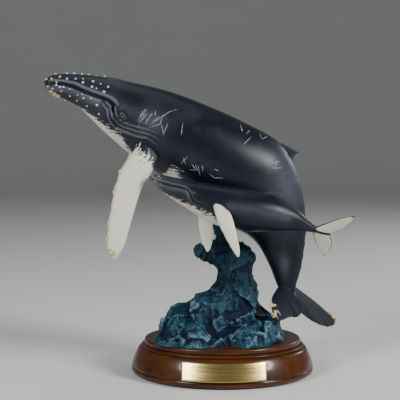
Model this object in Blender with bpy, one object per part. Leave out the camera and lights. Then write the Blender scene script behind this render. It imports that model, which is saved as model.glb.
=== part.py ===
"""Humpback whale and calf statuette: two cast resin whales pinned together, lifted on a steel rod
above a cast rock, on a turned oval wooden plinth with a curved brass plate.

All sizes are in millimetres and MM turns them into Blender's metres. X runs along the plinth from the
whales' heads to their tails, Y away from the front of the plinth, Z up. The origin is at the middle
of the underside of the felt. A whale heads towards -X, so its left side faces -Y.
"""

import math
import random

import bmesh
import bpy
from mathutils import Matrix, Vector
from mathutils.bvhtree import BVHTree

MM = 0.001

# Fits
FIT_GAP = 0.3  # left between two pieces that seat on each other
PIN_GAP = 0.15  # left all round a dowel, rod or screw in its hole

# Felt and plinth
FELT_THICKNESS = 1.5
FELT_INSET = 3.5  # from the foot of the plinth to the edge of the felt
PLINTH_LENGTH = 183.0  # across the widest moulding, along X
PLINTH_DEPTH = 160.0  # across the widest moulding, along Y
PLINTH_HEIGHT = 33.5
PLINTH_TOP_INSET = 13.0  # from the widest moulding to the edge of the flat top
TOP_EDGE_HEIGHT = 5.0  # of the moulding round the flat top
FLANK_LOW = 6.5  # height of the foot of the sloping flank above the underside of the plinth
FLANK_HIGH = 22.5
FLANK_LOW_INSET = 0.4  # from the widest moulding to the foot of the flank
FLANK_HIGH_INSET = 6.3
FLANK_CROWN = 0.7  # how far the middle of the flank swells out
FLANK_STEPS = 4
BEAD_HEIGHT = 2.6  # of the small bead between the flank and the top moulding
BEAD_INSET = 10.0
GROOVE_DEPTH = 0.9
FOOT_INSET = 1.6  # from the widest moulding in to the foot

# Plate
PLATE_LENGTH = 80.0
PLATE_HEIGHT = 17.5
PLATE_THICKNESS = 1.0
TAPE_LENGTH = 72.0
TAPE_HEIGHT = 10.0
TAPE_THICKNESS = 0.8

# Screws that hold the rock down
SCREW_DIAMETER = 4.0
SCREW_LENGTH = 40.0
SCREW_HEAD_DIAMETER = 7.6
SCREW_HEAD_HEIGHT = 2.8
WASHER_DIAMETER = 11.0
WASHER_THICKNESS = 1.2
COUNTERBORE_DEPTH = 9.0
SCREW_PLACES = ((-38.0, -16.0), (38.0, -14.0), (-8.0, 28.0))

# Rod that carries the whales, and its socket in the adult's belly
ROD_DIAMETER = 6.0
ROD_PLACE = (3.0, 14.0)
ROD_ENGAGED = 42.0  # length of rod inside the adult
SOCKET_WALL = 1.5

# Dowels: diameter and length
ADULT_DOWEL = (4.0, 26.0)
ADULT_FLUKE_DOWEL = (3.0, 22.0)
CALF_DOWEL = (2.4, 13.0)
CALF_FLUKE_DOWEL = (1.8, 13.0)
CALF_PIN = (3.0, 24.0)
CALF_PIN_PLACES = ((5.0, -16.0, 181.0), (35.0, -16.0, 176.0))
CALF_PIN_WAY = (0.0, 0.9, 0.42)

# Rock and whales. Their rows below are drawn DRAWN_HEIGHT high over a plinth whose top is at DRAWN_TOP, and
# are set on this plinth at FIGURE_HEIGHT.
FIGURE_HEIGHT = 264.8  # from the top of the plinth to the top of the adult's back
DRAWN_HEIGHT = 264.8
DRAWN_TOP = 35.3

# Bodies. Each row is one section from snout to tail: the back (x, z), the belly (x, z), the half width,
# the y of its middle, and how far it is turned about the body, in degrees, with the left side up.
ADULT_ROWS = (
    (-180.0, 292.0, -180.0, 290.0, 0.8, 18.0, 0.0),
    (-176.5, 296.5, -178.5, 286.0, 5.5, 18.0, 0.0),
    (-165.5, 300.0, -171.5, 280.5, 10.5, 18.0, 0.0),
    (-135.0, 299.0, -146.0, 267.0, 17.5, 18.0, 0.0),
    (-103.0, 294.0, -120.5, 242.5, 25.5, 18.0, 0.0),
    (-57.0, 283.5, -88.0, 215.0, 34.5, 18.0, 0.0),
    (-17.0, 269.0, -54.0, 192.0, 39.0, 18.0, 0.0),
    (23.0, 251.0, -17.5, 167.0, 40.0, 18.0, 0.0),
    (60.0, 229.0, 11.0, 145.0, 34.0, 18.0, 0.0),
    (78.0, 195.0, 27.0, 136.0, 23.0, 17.0, 0.0),
    (85.0, 150.0, 38.0, 124.5, 13.0, 15.0, -8.0),
    (81.5, 109.0, 48.0, 104.5, 8.0, 12.0, -20.0),
    (75.5, 84.0, 56.5, 83.0, 5.0, 10.0, -32.0),
)
CALF_ROWS = (
    (-72.5, 197.6, -72.5, 196.6, 0.6, -30.0, 0.0),
    (-70.0, 199.8, -70.5, 194.0, 4.2, -30.0, 2.0),
    (-63.0, 200.6, -65.0, 189.0, 7.6, -30.0, 4.0),
    (-50.0, 198.0, -55.5, 181.0, 11.0, -30.0, 6.0),
    (-29.0, 194.0, -37.0, 168.5, 16.0, -30.0, 8.0),
    (-2.0, 190.0, -9.5, 152.0, 20.5, -30.0, 8.0),
    (25.0, 185.5, 21.0, 144.8, 21.5, -30.0, 8.0),
    (50.5, 179.0, 48.5, 145.0, 17.0, -30.0, 8.0),
    (70.5, 168.0, 67.5, 146.0, 10.0, -30.0, 12.0),
    (84.0, 155.5, 82.0, 144.5, 5.2, -29.0, 24.0),
    (92.5, 148.5, 91.5, 143.0, 2.6, -28.0, 38.0),
)

# Fins and flippers. Each row is one section from root to tip: the leading edge (x, y, z), the trailing
# edge (x, y, z) and the thickness. The first rows lie inside the body and are cut away by it.
ADULT_FIN_ROWS = (
    ((38.0, 18.0, 232.0), (64.0, 18.0, 203.0), 9.0),
    ((52.0, 18.0, 232.5), (70.5, 18.0, 210.0), 6.0),
    ((67.0, 18.0, 227.0), (73.5, 18.0, 217.5), 3.4),
    ((76.5, 18.0, 221.8), (78.0, 18.0, 220.6), 1.2),
)
CALF_FIN_ROWS = (
    ((32.0, -30.0, 180.0), (47.0, -30.0, 174.0), 4.4),
    ((41.0, -31.0, 182.8), (51.0, -31.0, 177.4), 2.6),
    ((51.5, -31.5, 183.4), (53.5, -31.5, 181.6), 0.9),
)
ADULT_LEFT_FLIPPER_ROWS = (
    ((-85.0, 4.0, 241.0), (-58.0, 4.0, 231.0), 13.0),
    ((-87.0, -11.0, 225.0), (-64.0, -11.0, 214.5), 12.5),
    ((-97.5, -20.0, 209.0), (-70.5, -20.0, 201.0), 11.5),
    ((-104.5, -25.0, 190.0), (-79.0, -25.0, 187.0), 10.0),
    ((-108.0, -30.0, 171.0), (-86.0, -30.0, 166.0), 8.5),
    ((-111.5, -35.0, 148.0), (-91.5, -35.0, 146.0), 7.0),
    ((-112.0, -38.0, 131.0), (-96.0, -38.0, 131.0), 5.0),
    ((-108.0, -39.0, 122.5), (-102.0, -39.0, 121.5), 2.6),
)
ADULT_RIGHT_FLIPPER_ROWS = (
    ((-93.0, 34.0, 238.0), (-67.0, 34.0, 228.0), 13.0),
    ((-88.0, 52.0, 230.0), (-63.0, 50.0, 218.0), 12.5),
    ((-81.0, 68.0, 226.0), (-54.0, 62.0, 211.0), 11.5),
    ((-70.0, 84.0, 220.0), (-45.0, 76.0, 205.0), 10.0),
    ((-58.0, 99.0, 213.0), (-36.0, 91.0, 199.0), 8.5),
    ((-46.0, 113.0, 205.0), (-26.0, 106.0, 192.0), 7.0),
    ((-36.0, 122.0, 198.0), (-20.0, 117.0, 187.0), 5.0),
    ((-28.0, 127.0, 192.0), (-22.5, 125.0, 188.0), 2.6),
)
CALF_LEFT_FLIPPER_ROWS = (
    ((-11.0, -38.0, 180.0), (0.0, -38.0, 180.0), 6.0),
    ((-10.0, -48.0, 172.0), (0.5, -48.0, 170.5), 5.8),
    ((-8.0, -55.0, 164.5), (6.5, -55.0, 164.0), 5.4),
    ((-4.5, -59.0, 154.5), (9.8, -59.0, 154.5), 4.6),
    ((2.5, -62.0, 140.5), (13.0, -62.0, 141.0), 3.6),
    ((8.5, -63.5, 130.0), (15.0, -63.5, 130.5), 2.6),
    ((12.0, -64.0, 125.0), (14.5, -64.0, 125.0), 1.5),
)
CALF_RIGHT_FLIPPER_ROWS = (
    ((-24.0, -25.0, 166.0), (-9.0, -25.0, 164.0), 6.0),
    ((-24.0, -21.0, 156.0), (-10.0, -21.0, 150.0), 5.4),
    ((-23.0, -19.5, 145.0), (-9.5, -19.5, 141.0), 4.6),
    ((-20.5, -18.5, 134.0), (-10.5, -18.5, 132.0), 3.4),
    ((-17.5, -18.0, 127.0), (-12.5, -18.0, 126.0), 2.4),
    ((-16.0, -18.0, 124.5), (-14.0, -18.0, 124.2), 1.4),
)

# Flukes, in their own plane. Each row runs out along one lobe: how far out, the leading edge and the
# trailing edge measured back from the end of the tail, and the thickness. The first row is the middle.
ADULT_RIGHT_LOBE = (
    (0.0, -6.0, 33.0, 9.0),
    (7.0, -3.0, 40.0, 7.6),
    (22.0, 9.0, 50.0, 4.6),
    (38.0, 23.0, 54.0, 3.2),
    (50.0, 37.0, 54.0, 2.2),
    (57.0, 47.0, 50.0, 1.4),
)
ADULT_LEFT_LOBE = (
    (0.0, -6.0, 33.0, 9.0),
    (7.0, -3.0, 35.0, 7.6),
    (18.0, 2.0, 33.0, 5.0),
    (28.0, 7.5, 32.5, 3.6),
    (35.0, 15.0, 33.0, 2.6),
    (40.0, 29.0, 32.0, 1.4),
)
CALF_LOBE = (
    (0.0, -3.2, 16.0, 4.8),
    (3.7, -1.6, 18.0, 4.0),
    (12.0, 4.5, 24.0, 2.5),
    (20.5, 11.3, 26.3, 1.8),
    (27.0, 18.5, 26.5, 1.3),
    (31.0, 24.0, 25.7, 0.8),
)
ADULT_FLUKE_END = (65.0, 10.0, 86.0)  # end of the tail
ADULT_FLUKE_BACK = (0.47, -0.30, -0.83)  # the way the tail points
ADULT_FLUKE_LEFT = (-0.69, -0.72, -0.10)  # the way the left lobe points
ADULT_FLUKE_RIGHT = (0.545, 0.838, -0.027)
CALF_FLUKE_END = (90.5, -28.5, 146.3)
CALF_FLUKE_BACK = (0.927, 0.247, -0.281)
CALF_FLUKE_LEFT = (0.37, -0.64, 0.67)
CALF_FLUKE_RIGHT = (-0.37, 0.64, -0.67)

# Rock. Each lump: its middle (x, y, z), its half sizes, and its turn about Z in degrees.
ROCK_LUMPS = (
    ((-5.0, -4.0, 36.0), (68.0, 50.0, 9.0), 0.0),
    ((-20.0, 26.0, 44.0), (38.0, 26.0, 22.0), 10.0),
    ((22.0, 28.0, 42.0), (32.0, 24.0, 20.0), -15.0),
    ((-25.0, -38.0, 37.0), (24.0, 25.0, 15.0), 8.0),
    ((-33.0, -12.0, 42.0), (31.0, 38.0, 23.0), 12.0),
    ((-40.0, 6.0, 50.0), (20.0, 26.0, 17.0), -20.0),
    ((34.0, -14.0, 40.0), (28.0, 34.0, 15.0), -15.0),
    ((44.0, 12.0, 42.0), (18.0, 28.0, 18.0), 25.0),
    ((-14.0, -4.0, 62.0), (27.0, 28.0, 23.0), 30.0),
    ((8.0, 6.0, 66.0), (28.0, 26.0, 34.0), 10.0),
    ((20.0, 6.0, 66.0), (18.0, 22.0, 34.0), -25.0),
    ((14.0, 8.0, 96.0), (21.0, 17.0, 22.0), 40.0),
    ((18.0, 6.0, 112.0), (18.0, 15.0, 16.0), 15.0),
    ((-12.0, 6.0, 119.5), (16.0, 11.0, 10.5), -12.0),
    ((6.0, 9.0, 127.0), (17.0, 13.0, 14.0), 20.0),
    ((2.0, 13.0, 148.0), (11.0, 10.0, 22.0), 35.0),
    ((8.0, 14.0, 106.0), (16.0, 14.0, 22.0), 0.0),
    ((27.0, -37.0, 37.0), (23.0, 25.0, 16.0), -8.0),
    ((-48.0, -30.0, 35.0), (24.0, 24.0, 10.0), -25.0),
)
ROCK_ROUGHNESS = 0.16  # how far a lump's corners stand in or out, as a share of its half size
ROCK_SEED = 7
ROCK_VOXEL = 5.0  # fineness of the rock's skin

# Fineness
BODY_RINGS, BODY_SIDES = 34, 28
CALF_RINGS, CALF_SIDES = 28, 22
BLADE_RINGS, BLADE_SIDES = 16, 12
OVAL_SIDES = 72
ROUND_SIDES = 20
STRIP_STEPS = 20

# Colours: red, green, blue, roughness, metallic
FINISHES = {
    "whale_paint": (0.020, 0.022, 0.032, 0.45, 0.0),
    "cream_paint": (0.74, 0.70, 0.60, 0.5, 0.0),
    "rock_paint": (0.045, 0.13, 0.17, 0.6, 0.0),
    "walnut": (0.13, 0.045, 0.016, 0.25, 0.0),
    "brass": (0.80, 0.58, 0.22, 0.25, 1.0),
    "steel": (0.55, 0.55, 0.56, 0.35, 1.0),
    "felt": (0.02, 0.05, 0.03, 0.95, 0.0),
    "tape": (0.75, 0.75, 0.72, 0.7, 0.0),
}

# Heights that follow from the sizes above
PLINTH_FOOT = FELT_THICKNESS + FIT_GAP
PLINTH_TOP = PLINTH_FOOT + PLINTH_HEIGHT
ROCK_FOOT = PLINTH_TOP + FIT_GAP
FIGURE_SCALE = FIGURE_HEIGHT / DRAWN_HEIGHT


def on_plinth(point):
    """Where a drawn point of the rock or the whales stands on this plinth."""
    x, y, z = point
    return Vector((x * FIGURE_SCALE, y * FIGURE_SCALE, PLINTH_TOP + (z - DRAWN_TOP) * FIGURE_SCALE))


def smooth_value(a, b, c, d, t):
    """A value on a smooth curve between b and c, with a before them and d after them."""
    slope = c - a
    bend = 2 * a - 5 * b + 4 * c - d
    twist = 3 * (b - c) + d - a
    return b + (slope * t + bend * t**2 + twist * t**3) / 2


def smooth_rows(rows, count):
    """Rows of numbers read along a smooth curve through the given rows."""
    rows = [rows[0], *rows, rows[-1]]
    spans = len(rows) - 3
    found = []
    for i in range(count):
        along = spans * i / (count - 1)
        k = min(int(along), spans - 1)
        found.append([smooth_value(*four, along - k) for four in zip(*rows[k : k + 4])])
    return found


def new_object(name, bm, finish=None, place=(0.0, 0.0, 0.0)):
    """A mesh object at place, made from a bmesh that is in millimetres about that place."""
    bm.normal_update()
    bmesh.ops.recalc_face_normals(bm, faces=bm.faces)
    bmesh.ops.scale(bm, vec=(MM, MM, MM), verts=bm.verts)
    mesh = bpy.data.meshes.new(name)
    bm.to_mesh(mesh)
    bm.free()
    mesh.shade_smooth()
    mesh.set_sharp_from_angle(angle=math.radians(40))
    obj = bpy.data.objects.new(name, mesh)
    bpy.context.scene.collection.objects.link(obj)
    obj.location = Vector(place) * MM
    if finish:
        mesh.materials.append(material(finish))
    else:
        obj.hide_render = True
        obj.display_type = "WIRE"
    return obj


def material(name):
    """The Principled material of that name, made on first use."""
    found = bpy.data.materials.get(name)
    if found:
        return found
    red, green, blue, roughness, metallic = FINISHES[name]
    found = bpy.data.materials.new(name)
    found.use_nodes = True
    shader = found.node_tree.nodes["Principled BSDF"]
    shader.inputs["Base Color"].default_value = (red, green, blue, 1.0)
    shader.inputs["Roughness"].default_value = roughness
    shader.inputs["Metallic"].default_value = metallic
    found.diffuse_color = (red, green, blue, 1.0)
    return found


def loft(rings):
    """A closed bmesh through rings of points, with a fan over each end."""
    bm = bmesh.new()
    loops = [[bm.verts.new(p) for p in ring] for ring in rings]
    sides = len(rings[0])
    for first, second in zip(loops, loops[1:]):
        for i in range(sides):
            j = (i + 1) % sides
            bm.faces.new((first[i], first[j], second[j], second[i]))
    for loop in (loops[0], loops[-1]):
        middle = bm.verts.new(middle_of([v.co for v in loop]))
        for i in range(sides):
            bm.faces.new((loop[i], loop[(i + 1) % sides], middle))
    return bm


def middle_of(points):
    return sum(points, Vector()) / len(points)


def body_rings(rows, count, sides, grow=0.0):
    """Rings round a whale's body, each standing out by grow from the body itself."""
    rings = []
    for back_x, back_z, belly_x, belly_z, half_width, y, turn in smooth_rows(rows, count):
        middle = on_plinth(((back_x + belly_x) / 2, y, (back_z + belly_z) / 2))
        up = Vector((back_x - belly_x, 0.0, back_z - belly_z))
        height = FIGURE_SCALE * up.length / 2 + grow
        width = FIGURE_SCALE * half_width + grow
        up.normalize()
        right = Vector((0.0, 1.0, 0.0))
        spin = Matrix.Rotation(math.radians(turn), 3, up.cross(right))
        up, right = spin @ up, spin @ right
        ring = []
        for i in range(sides):
            a = math.tau * i / sides
            ring.append(middle + up * math.cos(a) * height + right * math.sin(a) * width)
        rings.append(ring)
    for end, inner in ((0, 1), (-1, -2)):
        push = (middle_of(rings[end]) - middle_of(rings[inner])).normalized() * grow
        rings[end] = [p + push for p in rings[end]]
    return rings


def blade_rings(rows, count, sides):
    """Rings round a fin or flipper: blunt along the leading edge, fine along the trailing edge."""
    flat = [(*lead, *trail, thick) for lead, trail, thick in rows]
    sections = [(on_plinth(r[:3]), on_plinth(r[3:6]), r[6] * FIGURE_SCALE) for r in smooth_rows(flat, count)]
    rings = []
    for k, (lead, trail, thick) in enumerate(sections):
        before = sections[max(k - 1, 0)]
        after = sections[min(k + 1, count - 1)]
        span = (after[0] + after[1]) - (before[0] + before[1])
        chord = trail - lead
        normal = chord.cross(span).normalized()
        ring = []
        for i in range(sides):
            a = math.tau * i / sides
            along = 0.5 - 0.5 * math.cos(a)
            fullness = math.sin(a) * (1.25 - 0.6 * along)
            ring.append(lead + chord * along + normal * (thick / 2) * fullness)
        rings.append(ring)
    return rings


def lobe_rows(lobe, end, back, way):
    """Leading edge, trailing edge and thickness of each section of one lobe of the flukes."""
    end, back, way = Vector(end), Vector(back).normalized(), Vector(way).normalized()
    rows = []
    for out, lead, trail, thick in lobe:
        middle = end + way * out
        rows.append((middle + back * lead, middle + back * trail, thick))
    return rows


def oval(half_length, half_depth, sides=OVAL_SIDES):
    """Points round an oval."""
    return [
        (half_length * math.cos(math.tau * i / sides), half_depth * math.sin(math.tau * i / sides))
        for i in range(sides)
    ]


def oval_solid(name, profile, finish):
    """A solid whose edge follows a profile of (inset from the widest moulding, height)."""
    rings = []
    for inset, z in profile:
        outline = oval(PLINTH_LENGTH / 2 - inset, PLINTH_DEPTH / 2 - inset)
        rings.append([Vector((x, y, z)) for x, y in outline])
    return new_object(name, loft(rings), finish)


def round_bar(diameter, length, sides=ROUND_SIDES):
    """A cylinder that stands on the origin along +Z."""
    bm = bmesh.new()
    radius = diameter / 2
    bmesh.ops.create_cone(
        bm, cap_ends=True, segments=sides, radius1=radius, radius2=radius, depth=length,
        matrix=Matrix.Translation((0, 0, length / 2)),
    )
    return bm


def bar_between(name, diameter, length, middle, along, finish=None):
    """A cylinder centred on middle, lying along a direction."""
    bm = round_bar(diameter, length)
    turn = Vector(along).to_track_quat("Z", "Y").to_matrix().to_4x4()
    bm.transform(turn @ Matrix.Translation((0, 0, -length / 2)))
    return new_object(name, bm, finish, middle)


def boolean(obj, tool, operation):
    modifier = obj.modifiers.new(f"{operation.lower()}_{tool.name}", "BOOLEAN")
    modifier.operation = operation
    modifier.object = tool
    modifier.solver = "EXACT"


def cut(tool, *pieces):
    for piece in pieces:
        boolean(piece, tool, "DIFFERENCE")


def dowel(name, size, middle, along, *pieces):
    """A steel dowel, with its hole in each of the pieces that it joins."""
    diameter, length = size
    hole = bar_between(f"{name}_hole", diameter + 2 * PIN_GAP, length + 2 * FIT_GAP, middle, along)
    cut(hole, *pieces)
    return bar_between(name, diameter, length, middle, along, "steel")


def root_of(rows, row=1):
    """The middle of one section of a fin or flipper, and the way that the fin runs out there."""
    middles = [(Vector(lead) + Vector(trail)) / 2 for lead, trail, _ in rows]
    return on_plinth(middles[row]), (middles[row + 1] - middles[row - 1]).normalized()


def make_felt():
    edge = FOOT_INSET + FELT_INSET
    return oval_solid("felt_base", [(edge, 0.0), (edge, FELT_THICKNESS)], "felt")


def flank_inset(share):
    """Inset of the flank a share of the way up it."""
    swell = FLANK_CROWN * 4 * share * (1 - share)
    return FLANK_LOW_INSET + share * (FLANK_HIGH_INSET - FLANK_LOW_INSET) - swell


def plinth_profile():
    """(inset, height) from the middle of the foot up to the edge of the flat top."""
    foot, top = PLINTH_FOOT, PLINTH_TOP
    high_groove = top - TOP_EDGE_HEIGHT
    low_groove = high_groove - BEAD_HEIGHT
    shoulder = foot + FLANK_HIGH
    shoulder_rise = low_groove - shoulder
    shoulder_run = BEAD_INSET - FLANK_HIGH_INSET
    step = PLINTH_TOP_INSET - BEAD_INSET
    foot_moulding = [
        (FOOT_INSET, foot),
        (0.35 * FOOT_INSET, foot + 0.15 * FLANK_LOW),
        (0.0, foot + 0.45 * FLANK_LOW),
        (0.3 * FOOT_INSET, foot + 0.72 * FLANK_LOW),
        (FLANK_LOW_INSET + GROOVE_DEPTH, foot + 0.85 * FLANK_LOW),
    ]
    shares = [i / FLANK_STEPS for i in range(FLANK_STEPS + 1)]
    flank = [(flank_inset(t), foot + FLANK_LOW + t * (FLANK_HIGH - FLANK_LOW)) for t in shares]
    bead = [
        (FLANK_HIGH_INSET + 0.4 * shoulder_run, shoulder + 0.6 * shoulder_rise),
        (BEAD_INSET, low_groove - 0.1 * shoulder_rise),
        (BEAD_INSET + GROOVE_DEPTH, low_groove),
        (BEAD_INSET, low_groove + 0.25 * BEAD_HEIGHT),
        (BEAD_INSET + 0.1 * step, low_groove + 0.6 * BEAD_HEIGHT),
        (BEAD_INSET + 0.7 * step, high_groove - 0.1 * BEAD_HEIGHT),
    ]
    top_edge = [
        (PLINTH_TOP_INSET + GROOVE_DEPTH, high_groove),
        (PLINTH_TOP_INSET, high_groove + 0.2 * TOP_EDGE_HEIGHT),
        (PLINTH_TOP_INSET, high_groove + 0.6 * TOP_EDGE_HEIGHT),
        (PLINTH_TOP_INSET + 0.4 * GROOVE_DEPTH, high_groove + 0.85 * TOP_EDGE_HEIGHT),
        (PLINTH_TOP_INSET + 1.3 * GROOVE_DEPTH, top),
    ]
    return foot_moulding + flank + bead + top_edge


def make_plinth():
    return oval_solid("plinth", plinth_profile(), "walnut")


def on_flank(x, rise, inset, lean):
    """A point of a leaning strip, and the way out of its face there, at x and so far up from its middle."""
    inset = inset + rise * math.sin(lean)
    half_length = PLINTH_LENGTH / 2 - inset
    half_depth = PLINTH_DEPTH / 2 - inset
    y = -half_depth * math.sqrt(1.0 - (x / half_length) ** 2)
    middle_height = PLINTH_FOOT + (FLANK_LOW + FLANK_HIGH) / 2
    out = Vector((x / half_length**2, y / half_depth**2, 0.0)).normalized() * math.cos(lean)
    out.z = math.sin(lean)
    return Vector((x, y, middle_height + rise * math.cos(lean))), out


def bent_strip(name, length, height, thickness, stand_off, finish):
    """A strip bent round the front of the plinth, leaning back on its flank and standing off it."""
    lean = math.atan2(FLANK_HIGH_INSET - FLANK_LOW_INSET, FLANK_HIGH - FLANK_LOW)
    inset = flank_inset(0.5) - stand_off / math.cos(lean)
    rings = []
    for i in range(STRIP_STEPS + 1):
        x = length * (i / STRIP_STEPS - 0.5)
        low, low_out = on_flank(x, -height / 2, inset, lean)
        high, high_out = on_flank(x, height / 2, inset, lean)
        rings.append([low, low + low_out * thickness, high + high_out * thickness, high])
    return new_object(name, loft(rings), finish)


def make_plate():
    """The brass plate and the tape that holds it to the flank."""
    bent_strip("plate_tape", TAPE_LENGTH, TAPE_HEIGHT, TAPE_THICKNESS, FIT_GAP, "tape")
    stand_off = FIT_GAP + TAPE_THICKNESS + FIT_GAP
    bent_strip("name_plate", PLATE_LENGTH, PLATE_HEIGHT, PLATE_THICKNESS, stand_off, "brass")


def rock_lump(bm, middle, half_sizes, turn, chance):
    """Adds one craggy boulder to bm."""
    place = Matrix.Translation(on_plinth(middle)) @ Matrix.Rotation(math.radians(turn), 4, "Z")
    made = bmesh.ops.create_icosphere(bm, subdivisions=2, radius=1.0)
    for vert in made["verts"]:
        swell = FIGURE_SCALE * (1.0 + chance.uniform(-ROCK_ROUGHNESS, ROCK_ROUGHNESS))
        vert.co = place @ Vector(c * s * swell for c, s in zip(vert.co, half_sizes))


def make_rock():
    bm = bmesh.new()
    chance = random.Random(ROCK_SEED)
    for middle, half_sizes, turn in ROCK_LUMPS:
        rock_lump(bm, middle, half_sizes, turn, chance)
    rock = new_object("rock", bm, "rock_paint")
    skin = rock.modifiers.new("one_skin", "REMESH")
    skin.mode = "VOXEL"
    skin.voxel_size = ROCK_VOXEL * MM
    return rock


def level_foot(rock):
    """Cuts the rock flat where it stands on the plinth."""
    slab = bmesh.new()
    bmesh.ops.create_cube(slab, size=1.0)
    bmesh.ops.scale(slab, vec=(2 * PLINTH_LENGTH, 2 * PLINTH_DEPTH, 2 * PLINTH_TOP), verts=slab.verts)
    cut(new_object("under_rock", slab, None, (0.0, 0.0, ROCK_FOOT - PLINTH_TOP)), rock)


def make_washer(number, x, y, foot):
    washer = round_bar(WASHER_DIAMETER, WASHER_THICKNESS)
    washer = new_object(f"rock_washer_{number}", washer, "steel", (x, y, foot))
    eye = round_bar(SCREW_DIAMETER + 2 * PIN_GAP, 3 * WASHER_THICKNESS)
    eye = new_object(f"washer_{number}_eye", eye, None, (x, y, foot - WASHER_THICKNESS))
    cut(eye, washer)


def make_screw(number, x, y, head_top):
    """A pan-head screw with a short point, standing on its head."""
    head, shank = SCREW_HEAD_DIAMETER / 2, SCREW_DIAMETER / 2
    outline = (
        (0.85 * head, -SCREW_HEAD_HEIGHT),
        (head, -0.6 * SCREW_HEAD_HEIGHT),
        (head, 0.0),
        (shank, 0.0),
        (shank, SCREW_LENGTH - SCREW_DIAMETER),
        (0.4 * shank, SCREW_LENGTH),
    )
    rings = [[Vector((*p, z)) for p in oval(r, r, ROUND_SIDES)] for r, z in outline]
    new_object(f"rock_screw_{number}", loft(rings), "steel", (x, y, head_top))


def make_fixings(plinth, rock):
    """Screws with washers, from wells in the underside of the plinth up into the rock."""
    seat = PLINTH_FOOT + COUNTERBORE_DEPTH
    washer_foot = seat - FIT_GAP - WASHER_THICKNESS
    head_top = washer_foot - FIT_GAP
    for number, (x, y) in enumerate(SCREW_PLACES, start=1):
        well = round_bar(WASHER_DIAMETER + 2 * FIT_GAP, seat)
        well = new_object(f"screw_{number}_well", well, None, (x, y, 0.0))
        cut(well, plinth)
        hole = round_bar(SCREW_DIAMETER + 2 * PIN_GAP, SCREW_LENGTH + FIT_GAP)
        hole = new_object(f"screw_{number}_hole", hole, None, (x, y, head_top))
        cut(hole, plinth, rock)
        make_washer(number, x, y, washer_foot)
        make_screw(number, x, y, head_top)


def adult_belly(x, y):
    """Height of the adult's underside above a point of the plinth."""
    bm = loft(body_rings(ADULT_ROWS, BODY_RINGS, BODY_SIDES))
    place = BVHTree.FromBMesh(bm).ray_cast(Vector((x, y, 0.0)), Vector((0.0, 0.0, 1.0)))[0]
    bm.free()
    if place is None:
        raise ValueError("the rod stands clear of the adult's belly")
    return place.z


def make_rod(rock, adult):
    """The steel rod in the rock, and its socket in the adult's belly."""
    x, y = (v * FIGURE_SCALE for v in ROD_PLACE)
    top = adult_belly(x, y) + ROD_ENGAGED
    foot = ROCK_FOOT
    hole = round_bar(ROD_DIAMETER + 2 * PIN_GAP, top)
    cut(new_object("rod_hole", hole, None, (x, y, 0.0)), rock)
    new_object("support_rod", round_bar(ROD_DIAMETER, top - foot), "steel", (x, y, foot))
    bore = ROD_DIAMETER + 2 * PIN_GAP
    outside = bore + 2 * SOCKET_WALL
    rim = oval(outside / 2, outside / 2, ROUND_SIDES)
    socket_foot = FIT_GAP + max(adult_belly(x + dx, y + dy) for dx, dy in rim)
    socket_length = top + SOCKET_WALL - socket_foot
    well = round_bar(outside + 2 * PIN_GAP, socket_foot + socket_length + FIT_GAP)
    cut(new_object("socket_well", well, None, (x, y, 0.0)), adult)
    socket = new_object("rod_socket", round_bar(outside, socket_length), "brass", (x, y, socket_foot))
    inside = round_bar(bore, top + FIT_GAP)
    cut(new_object("socket_bore", inside, None, (x, y, 0.0)), socket)


def make_adult():
    body = new_object("adult_body", loft(body_rings(ADULT_ROWS, BODY_RINGS, BODY_SIDES)), "whale_paint")
    fin = new_object("adult_fin", loft(blade_rings(ADULT_FIN_ROWS, BLADE_RINGS, BLADE_SIDES)))
    boolean(body, fin, "UNION")
    grown = body_rings(ADULT_ROWS, BODY_RINGS, BODY_SIDES, FIT_GAP)
    room = new_object("adult_room", loft(grown))
    for side, rows in (("left", ADULT_LEFT_FLIPPER_ROWS), ("right", ADULT_RIGHT_FLIPPER_ROWS)):
        flipper = new_object(
            f"adult_{side}_flipper", loft(blade_rings(rows, BLADE_RINGS, BLADE_SIDES)), "cream_paint"
        )
        cut(room, flipper)
        dowel(f"adult_{side}_flipper_dowel", ADULT_DOWEL, *root_of(rows), flipper, body)
    left = lobe_rows(ADULT_LEFT_LOBE, ADULT_FLUKE_END, ADULT_FLUKE_BACK, ADULT_FLUKE_LEFT)
    right = lobe_rows(ADULT_RIGHT_LOBE, ADULT_FLUKE_END, ADULT_FLUKE_BACK, ADULT_FLUKE_RIGHT)
    rows = right[::-1] + left[1:]
    flukes = new_object("adult_flukes", loft(blade_rings(rows, 2 * BLADE_RINGS, BLADE_SIDES)), "whale_paint")
    cut(room, flukes)
    dowel("adult_fluke_dowel", ADULT_FLUKE_DOWEL, on_plinth(ADULT_FLUKE_END), ADULT_FLUKE_BACK, flukes, body)
    return body, room


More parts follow.
